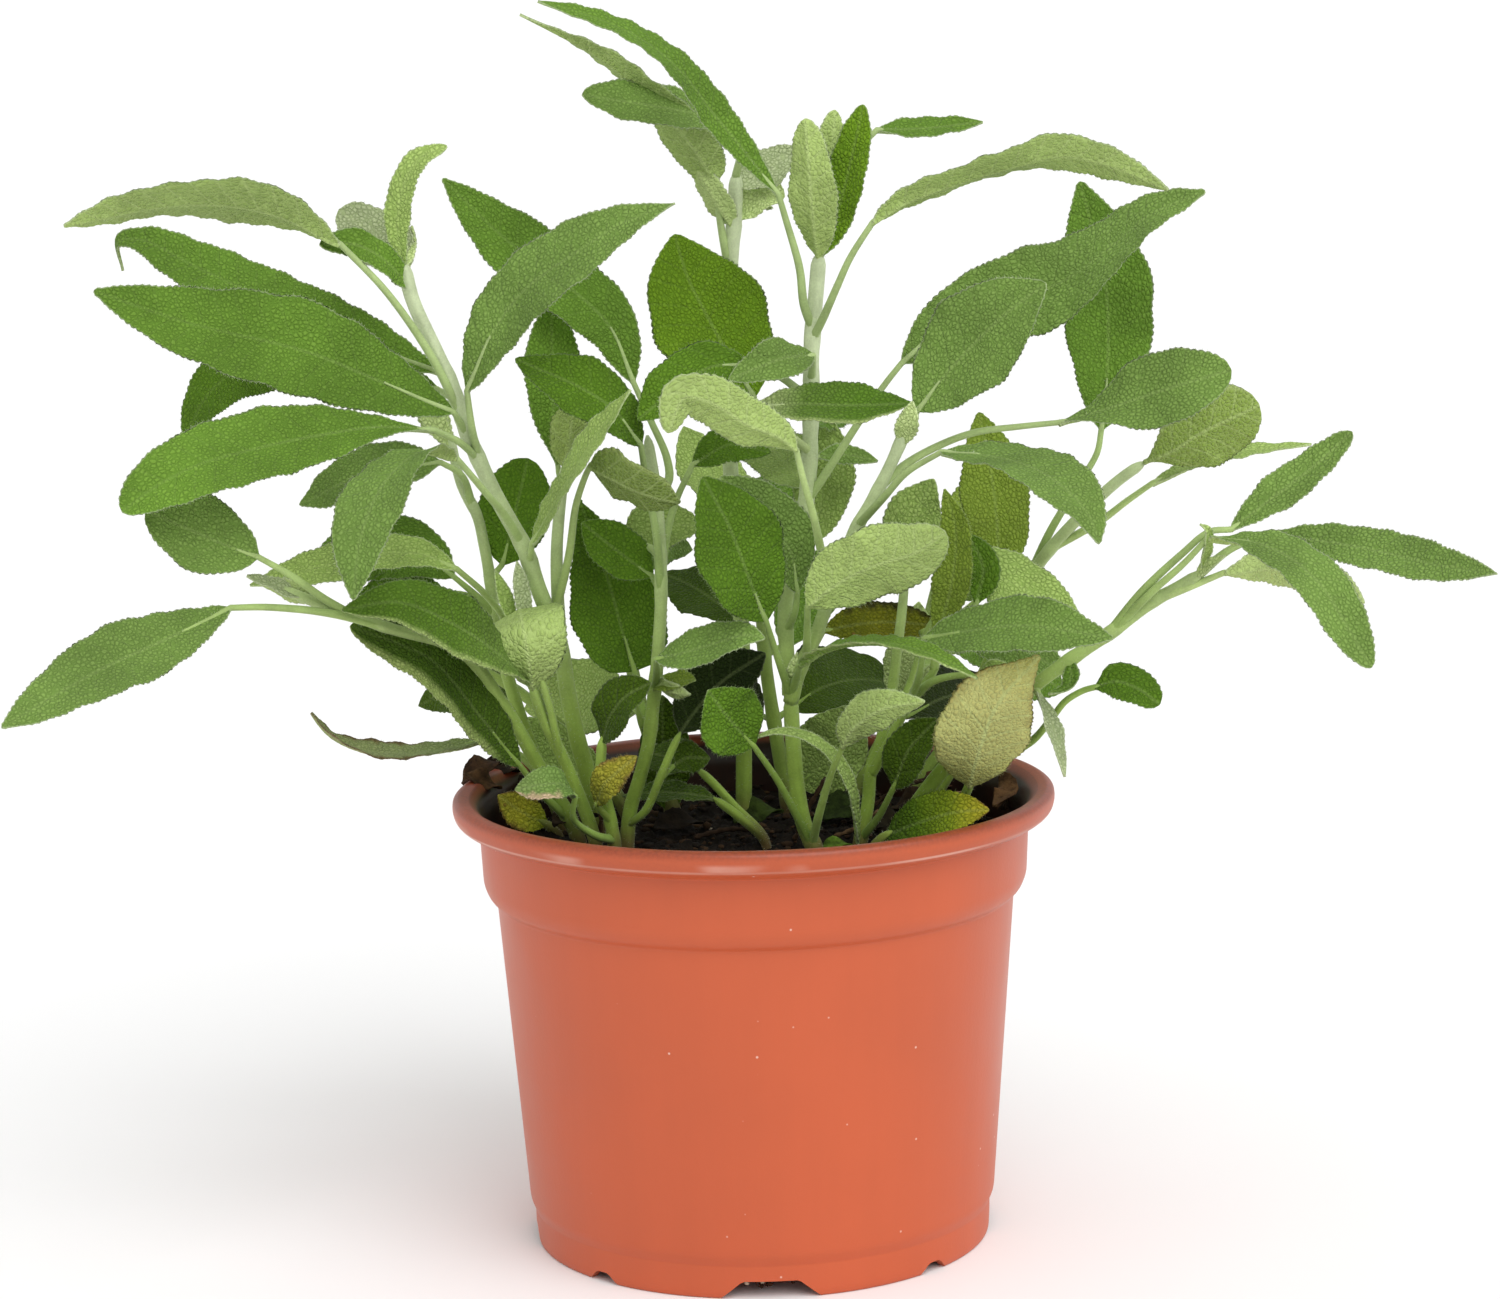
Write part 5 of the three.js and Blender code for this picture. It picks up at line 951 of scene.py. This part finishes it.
def make_pot(materials):
    profile = rounded(POT_PROFILE)
    lip = int(np.argmax(profile[:, 1])) + 3
    wall = profile[1:-1]
    pot = closed("pot_shell", round_rings(wall[:, 0], wall[:, 1], POT_SIDES), materials,
                 lambda ring: np.where(ring >= lip, 1, 0))
    cuts = []
    for turn, (below, above, tall) in gaps():
        below, above, corner = below / 2, above / 2, GAP_CORNER
        side = [(below + 1, -1), (below, 0), (above + corner, tall - 0.35), (above - corner, tall)]
        outline = [(-below - 1, -1), *side, *((-x, z) for x, z in side[:0:-1])]
        cuts.append(closed("cut", np.array([
            [(*turned_by(reach, x, turn), z) for x, z in outline]
            for reach in (GAP_FROM, GAP_TO)])))
        angle = np.arange(DRAIN_SIDES) / DRAIN_SIDES * 2 * np.pi
        oval = turned_by(DRAIN_RADIUS + DRAIN_WIDE / 2 * np.cos(angle),
                         DRAIN_LONG / 2 * np.sin(angle), turn)
        cuts.append(closed("cut", np.stack([
            np.c_[oval[0], oval[1], np.full(DRAIN_SIDES, height)]
            for height in (FLOOR_UNDER - 1, FLOOR_TOP + 1)])))
    for cut in cuts:
        modifier = pot.modifiers.new("cut", "BOOLEAN")
        modifier.operation = "DIFFERENCE"
        modifier.solver = "EXACT"
        modifier.object = cut
    bpy.context.view_layer.update()
    result = bpy.data.meshes.new_from_object(
        pot.evaluated_get(bpy.context.evaluated_depsgraph_get()))
    pot.modifiers.clear()
    pot.data = result
    for cut in cuts:
        bpy.data.objects.remove(cut)
    pot.data.set_sharp_from_angle(angle=math.radians(POT_SHARP))
    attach(pot, "root")
    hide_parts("pot")


def lump(x, y):
    return SOIL_LUMPS * (np.sin(x * 0.31 + y * 0.17) + np.sin(y * 0.37 - x * 0.12 + 1.3)
                         + 0.6 * np.sin(x * 0.71 + 2.1) * np.sin(y * 0.66))


def crumble(x, y):
    """Fine uneven height of the soil's top: seven crossed waves, each finer and lower."""
    total = np.zeros_like(x)
    for k in range(7):
        turn, wave = k * 2.4, 0.55 * 1.45 ** k
        first = np.sin(x * wave * math.cos(turn) + y * wave * math.sin(turn) + k * 1.7)
        second = np.sin(y * wave * math.cos(turn + 1) - x * wave * math.sin(turn + 1))
        total = total + first * second * 0.75 / 1.25 ** k
    return total


def make_soil(material, grain_material):
    """The soil, from the floor up its side and over its top to the middle, with its litter."""
    mesh = Mesh()
    radius = np.linspace(0.4, SOIL_RADIUS, SOIL_RINGS)[::-1]
    fade = smoothstep(0, 4, SOIL_RADIUS - radius)[:, None]
    top = round_rings(radius, radius * 0, SOIL_SECTORS)
    x, y = top[..., 0], top[..., 1]
    top[..., 2] = SOIL_TOP + lump(x, y) * fade + crumble(x, y) * SOIL_CRUMBLE * (0.35 + 0.65 * fade)
    low = round_rings(*zip(*SOIL_SIDE), SOIL_SECTORS)
    mesh.tube(np.concatenate([low, top]), 0, linear(SOIL_DARK))
    add_crumbs(mesh)
    add_litter(mesh)
    piece = mesh.make("soil_top", [material, grain_material])
    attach(piece, "root")
    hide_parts("soil")


def make_pebble():
    """Points and triangles of a subdivided icosahedron."""
    work = bmesh.new()
    bmesh.ops.create_icosphere(work, subdivisions=1, radius=1)
    bmesh.ops.triangulate(work, faces=work.faces)
    shape = (np.array([v.co[:] for v in work.verts]),
             np.array([[v.index for v in f.verts] for f in work.faces]))
    work.free()
    return shape


PEBBLE_POINTS, PEBBLE_FACES = make_pebble()


def chunk(size, squash, turn):
    """Points of an uneven pebble, squashed and turned about the vertical."""
    points = PEBBLE_POINTS * (1 + rng.normal(0, 0.16, (len(PEBBLE_POINTS), 1))) * squash * size
    c, s = math.cos(turn), math.sin(turn)
    return points @ np.array([[c, -s, 0], [s, c, 0], [0, 0, 1]])


def add_crumbs(mesh):
    for _ in range(CRUMBS):
        r = SOIL_RADIUS * math.sqrt(rng.uniform(0, 0.985))
        x, y = turned_by(r, 0, rng.uniform(0, 2 * math.pi))
        white = rng.uniform() < WHITE_SHARE
        size = rng.uniform(0.35, 0.9) if white else rng.uniform(0.4, 1.5) * rng.uniform(0.5, 1)
        points = chunk(size, rng.uniform(0.6, 1.2, 3) * [1, 1.3, 0.7], rng.uniform(0, 6))
        z = SOIL_TOP + float(lump(x, y)) + float(crumble(np.array(x), np.array(y))) * SOIL_CRUMBLE
        tint = linear(WHITE_GRAIN if white else np.array(CRUMB_BROWN) * rng.uniform(0.5, 1.9))
        mesh.add(points + [x, y, z + size * 0.2], PEBBLE_FACES, 1 if white else 0, tint)


def add_litter(mesh):
    """Dead scraps, twigs and low leaves on the soil, and bits of root in the foot's gaps."""
    for order, (points, width, tint) in enumerate(SCRAPS):
        add_leaf(mesh, "scrap", [], place(points), width, [70, 30, 110], tint, "blunt", order,
                 SCRAP_STEP)
    for points, radius, tint in TWIGS:
        path, _ = spline(place(points), TWIG_STEP)
        along = tangents(path)
        out = carried(STEM_FRONT, along)
        knots = radius * (1 + 0.3 * np.sin(np.arange(len(path)) * 2.3))
        rings = rings_round(path, along, out, knots, TWIG_SIDES, np.ones_like)
        mesh.tube(rings, 0, linear(tint))
    for turn, (_, wide, _) in gaps():
        for _ in range(int(wide * 3)):
            way = turn + rng.uniform(-0.5, 0.5) * wide / 42
            x, y = turned_by(rng.uniform(38, 43), 0, way)
            size = rng.uniform(0.25, 0.75)
            points = chunk(size, rng.uniform(0.6, 1.4, 3), rng.uniform(0, 6))
            pale = rng.uniform() < 0.3
            mesh.add(points + [x, y, rng.uniform(0.5, 3.4) + size], PEBBLE_FACES,
                     1 if pale else 0, linear(PALE_BIT if pale else DARK_BIT))


class Shader:
    """Short names for building one material's nodes."""

    def __init__(self, name):
        self.material = bpy.data.materials.new(name)
        self.material.use_nodes = True
        self.nodes = self.material.node_tree.nodes
        self.links = self.material.node_tree.links
        self.where = self.node("TexCoord").outputs["Object"]

    def put(self, socket, value):
        if isinstance(value, bpy.types.NodeSocket):
            self.links.new(value, socket)
        else:
            socket.default_value = value

    def node(self, kind, *values, **settings):
        made = self.nodes.new("ShaderNode" + kind)
        for key, value in settings.items():
            setattr(made, key, value)
        for socket, value in zip(made.inputs, values):
            self.put(socket, value)
        return made

    def named(self, made, **values):
        for key, value in values.items():
            self.put(made.inputs[key.replace("_", " ")], value)
        return made

    def math(self, operation, *values):
        return self.node("Math", *values, operation=operation).outputs[0]

    def times(self, a, b):
        return self.math("MULTIPLY", a, b)

    def mix(self, share, a, b, how="MIX"):
        made = self.node("Mix", data_type="RGBA", blend_type=how)
        for socket, value in zip((0, 6, 7), (share, a, b)):
            self.put(made.inputs[socket], value)
        return made.outputs[2]

    def shaded(self, colour, shade):
        """The colour made darker or lighter by a number."""
        grey = self.node("CombineColor", shade, shade, shade).outputs[0]
        return self.mix(1.0, colour, grey, "MULTIPLY")

    def span(self, value, low, high, to_low=0.0, to_high=1.0):
        return self.node("MapRange", value, low, high, to_low, to_high,
                         interpolation_type="SMOOTHSTEP").outputs[0]

    def attribute(self, name, output):
        return self.node("Attribute", attribute_name=name).outputs[output]

    def split(self, vector):
        return self.node("SeparateXYZ", vector).outputs

    def noise(self, scale, detail=2.0, rough=0.5, vector=None):
        return self.named(self.node("TexNoise"), Vector=vector or self.where, Scale=scale,
                          Detail=detail, Roughness=rough).outputs[0]

    def cells(self, scale, vector=None, feature="F1"):
        return self.named(self.node("TexVoronoi", feature=feature), Vector=vector or self.where,
                          Scale=scale).outputs

    def dots(self, scale, near, far, least):
        """Small round spots in the cells whose random number is over the least."""
        cells = self.cells(scale)
        pick = self.node("SeparateColor", cells["Color"]).outputs[0]
        return self.times(self.span(cells["Distance"], far, near),
                          self.math("GREATER_THAN", pick, least))

    def bump(self, height, distance, strength):
        return self.named(self.node("Bump"), Strength=strength, Distance=distance,
                          Height=height).outputs[0]

    def finish(self, **values):
        self.named(self.nodes["Principled BSDF"], **values)
        return self.material


def rgba(colour):
    return (*linear(colour), 1.0)


def leaf_material():
    s = Shader("sage_leaf")
    tint = s.attribute("tint", "Color")
    grain = s.attribute("grain", "Vector")
    upper, edge, hairy = s.split(s.attribute("side", "Vector"))
    along, across, seed = s.split(grain)
    beside = s.math("ABSOLUTE", across)
    # Side veins that leave the midrib at a slant
    half = s.times(s.math("GREATER_THAN", across, 0.0), 0.5)
    slant = s.math("SUBTRACT", along, s.times(beside, VEIN_SLANT))
    bend = s.times(s.times(beside, beside), VEIN_BEND)
    vein = s.math("ADD", s.math("DIVIDE", s.math("ADD", slant, bend), VEIN_PITCH), half)
    vein = s.math("ADD", vein, s.math("DIVIDE", seed, SEED_SPREAD))
    vein_line = s.span(s.times(s.math("PINGPONG", vein, 0.5), VEIN_PITCH), 0.42, 0.05)
    rib_line = s.times(s.span(beside, 0.55, 0.1), s.span(along, 55.0, 8.0, 0.45, 1.0))
    # Fine pebbled cells between the veins
    stretched = s.node("VectorMath", grain, (1.0, 1.15, 1.0), operation="MULTIPLY").outputs[0]
    pebbles = s.cells(1.15, stretched)
    net = s.cells(1.15, stretched, "DISTANCE_TO_EDGE")
    dome = s.math("SUBTRACT", 1.0, pebbles["Distance"])
    seam = s.span(net["Distance"], 0.0, 0.26, 1.0, 0.0)
    # Colour of the upper face, then of the underside
    broad = s.noise(55.0, 3.0, 0.6)
    fine = s.noise(900.0, 2.0, 0.6)
    body = s.shaded(tint, s.math("ADD", s.span(broad, 0.3, 0.7, 0.84, 1.14),
                                 s.span(fine, 0.3, 0.7, -0.05, 0.05)))
    # On the upper face the seams between the pebbles are painted darker: painted shade in the
    # grooves
    darker = s.mix(1.0, body, (0.52, 0.6, 0.42, 1.0), "MULTIPLY")
    lighter = s.mix(0.5, body, rgba(VEIN_PALE))
    top = s.mix(s.times(seam, 0.6), body, darker)
    top = s.mix(s.times(vein_line, 0.05), top, lighter)
    top = s.mix(s.times(rib_line, 0.2), top, lighter)
    below = s.mix(s.times(seam, 0.45), body, lighter)
    below = s.mix(s.times(vein_line, 0.6), below, lighter)
    below = s.mix(rib_line, below, lighter)
    colour = s.mix(upper, below, top)
    # Pale hairs along the margin, and brown spots on the leaves without them
    colour = s.mix(s.times(s.span(edge, 0.4, 0.0, 0.0, 0.4), hairy), colour, rgba(MARGIN_SHEEN))
    spot = s.dots(340.0, 0.09, 0.17, 0.93)
    colour = s.mix(s.times(spot, s.span(hairy, 0.2, 0.05, 0.0, 0.7)), colour, rgba(SPOT_BROWN))
    height = s.math("SUBTRACT", dome, s.times(seam, 0.5))
    height = s.math("SUBTRACT", height, s.times(vein_line, 0.5))
    height = s.math("ADD", height, s.times(fine, 0.35))
    return s.finish(Base_Color=colour, Roughness=0.7, Specular_IOR_Level=0.12, Sheen_Weight=0.03,
                    Sheen_Roughness=0.45, Sheen_Tint=(0.9, 0.95, 0.85, 1.0),
                    Normal=s.bump(height, 0.0003, 0.9))


def stem_material():
    s = Shader("sage_stem")
    fuzz = s.noise(2600.0, 2.0, 0.7)
    body = s.shaded(s.attribute("tint", "Color"), s.math(
        "ADD", s.span(s.noise(160.0, 3.0, 0.6), 0.3, 0.7, 0.86, 1.12),
        s.span(fuzz, 0.3, 0.7, -0.07, 0.07)))
    return s.finish(Base_Color=body, Roughness=0.65, Specular_IOR_Level=0.25, Sheen_Weight=0.12,
                    Sheen_Roughness=0.45, Sheen_Tint=(0.95, 1.0, 0.9, 1.0),
                    Normal=s.bump(fuzz, 0.00012, 0.6))


def pot_material(name, shaded_and_soiled):
    """Satin plastic. If the last argument is 1, its inside is painted shade with some dirt."""
    s = Shader(name)
    tall = s.node("VectorMath", s.where, (1.0, 1.0, 0.08), operation="MULTIPLY").outputs[0]
    streak = s.noise(120.0, 3.0, 0.6, tall)
    cloud = s.noise(28.0, 3.0, 0.5)
    fine = s.noise(1500.0, 2.0, 0.6)
    base = s.shaded(rgba(PLASTIC), s.math(
        "ADD", s.span(streak, 0.3, 0.7, 0.985, 1.015), s.span(cloud, 0.3, 0.7, -0.03, 0.03)))
    base = s.mix(s.times(s.dots(300.0, 0.04, 0.1, 0.86), 0.6), base, rgba(SPECK))
    height = s.split(s.where)[2]
    # The rim's darker top, with painted shade on the lip's underside, a painted highlight line along
    # the lip's lower edge and pale patches on its front, painted soft highlights with some dust
    rim = s.times(s.span(height, 0.0888, 0.0908, 0.22, 1.0), s.span(height, 0.085, 0.0858))
    base = s.mix(s.times(rim, s.span(fine, 0.3, 0.7, 0.6, 0.85)), base, rgba(RIM_TOP_AND_LIP_SHADE))
    highlight_line = s.times(s.span(height, 0.0865, 0.0868), s.span(height, 0.0873, 0.087))
    highlight_line = s.times(highlight_line, s.span(cloud, 0.35, 0.6, 0.1, 0.45))
    highlight_patch = s.times(s.span(height, 0.0866, 0.0874), s.span(height, 0.0889, 0.088))
    highlight_patch = s.times(highlight_patch, s.span(s.noise(38.0, 2.0, 0.5), 0.52, 0.64, 0.0, 0.4))
    base = s.mix(s.math("MAXIMUM", highlight_line, highlight_patch), base, rgba(LIP_HIGHLIGHT))
    # Inside the rim the plastic is painted nearly black up to its top: painted shade, some dirt
    inside = s.span(s.noise(90.0, 4.0, 0.6), 0.45, 0.7)
    shade_and_dirt = s.times(s.math("ADD", s.times(inside, 0.03), 0.96),
                   s.span(height, 0.0904, 0.0888, 0.3 * shaded_and_soiled, shaded_and_soiled))
    base = s.mix(shade_and_dirt, base, rgba(SHADE_AND_DIRT))
    return s.finish(Base_Color=base, Roughness=s.span(cloud, 0.3, 0.7, 0.36, 0.46),
                    Specular_IOR_Level=0.45,
                    Normal=s.bump(s.math("ADD", s.times(fine, 0.5), streak), 0.00008, 0.5))


def crumb_material(name, grain, span, distance, strength, **values):
    """A rough material whose noise makes both its shade and its bumps."""
    s = Shader(name)
    lumps = s.noise(*grain)
    body = s.shaded(s.attribute("tint", "Color"), s.span(lumps, *span))
    return s.finish(Base_Color=body, Normal=s.bump(lumps, distance, strength), **values)


def make_stage():
    data = bpy.data.meshes.new("floor")
    data.from_pydata([(x * FLOOR_REACH, y * FLOOR_REACH, 0)
                      for x, y in ((-1, -1), (1, -1), (1, 1), (-1, 1))], [], [(0, 1, 2, 3)])
    floor = linked("floor", data)
    data.materials.append(Shader("pale_floor").finish(
        Base_Color=(0.9, 0.9, 0.9, 1.0), Roughness=0.9, Specular_IOR_Level=0.1))


def make_light():
    data = bpy.data.lights.new("key", "SUN")
    data.angle = math.radians(LIGHT_SPREAD)
    data.energy = LIGHT_STRENGTH
    linked("key", data).rotation_euler = Vector(LIGHT_FROM).to_track_quat("Z", "Y").to_euler()


def make_world():
    """An even pale studio, as bright as the floor where it meets the floor."""
    world = bpy.data.worlds.new("studio")
    world.use_nodes = True
    nodes, links = world.node_tree.nodes, world.node_tree.links
    where = nodes.new("ShaderNodeTexCoord")
    split = nodes.new("ShaderNodeSeparateXYZ")
    ramp = nodes.new("ShaderNodeMapRange")
    ramp.interpolation_type = "SMOOTHSTEP"
    for socket, value in zip(ramp.inputs[1:5], (0.03, 0.22, HORIZON, SKY)):
        socket.default_value = value
    links.new(where.outputs["Generated"], split.inputs[0])
    links.new(split.outputs[2], ramp.inputs[0])
    links.new(ramp.outputs[0], nodes["Background"].inputs[1])
    nodes["Background"].inputs[0].default_value = (1.0, 1.0, 1.0, 1.0)
    bpy.context.scene.world = world


def make_camera():
    data = bpy.data.cameras.new("camera")
    data.lens = LENS
    data.sensor_width = SENSOR
    data.sensor_fit = "HORIZONTAL"
    data.clip_start = 0.05
    camera = linked("camera", data)
    camera.matrix_world = (
        Matrix.Translation((0, -VIEW_DISTANCE * MM, VIEW_HEIGHT * MM))
        @ Matrix.Rotation(math.radians(90 - PITCH_DOWN), 4, "X")
        @ Matrix.Rotation(math.radians(-ROLL), 4, "Z"))
    bpy.context.scene.camera = camera


bpy.context.scene.view_settings.view_transform = "Standard"
make_world()
make_camera()
make_stage()
make_light()

plant_looks = [leaf_material(), stem_material()]
make_pot([pot_material("terracotta_plastic", 0), pot_material("shaded_soiled_plastic", 1)])
make_soil(
    crumb_material("potting_soil", (420.0, 6.0, 0.7), (0.3, 0.72, 0.35, 1.5), 0.0006, 0.9,
                   Roughness=0.95, Specular_IOR_Level=0.2),
    crumb_material("perlite", (1400.0, 3.0, 0.7), (0.3, 0.7, 0.75, 1.08), 0.0002, 0.7,
                   Roughness=0.85))
for stem_name, (stem_axes, stem_leaves) in PLANT.items():
    make_growth(stem_name, stem_axes, stem_leaves, plant_looks)
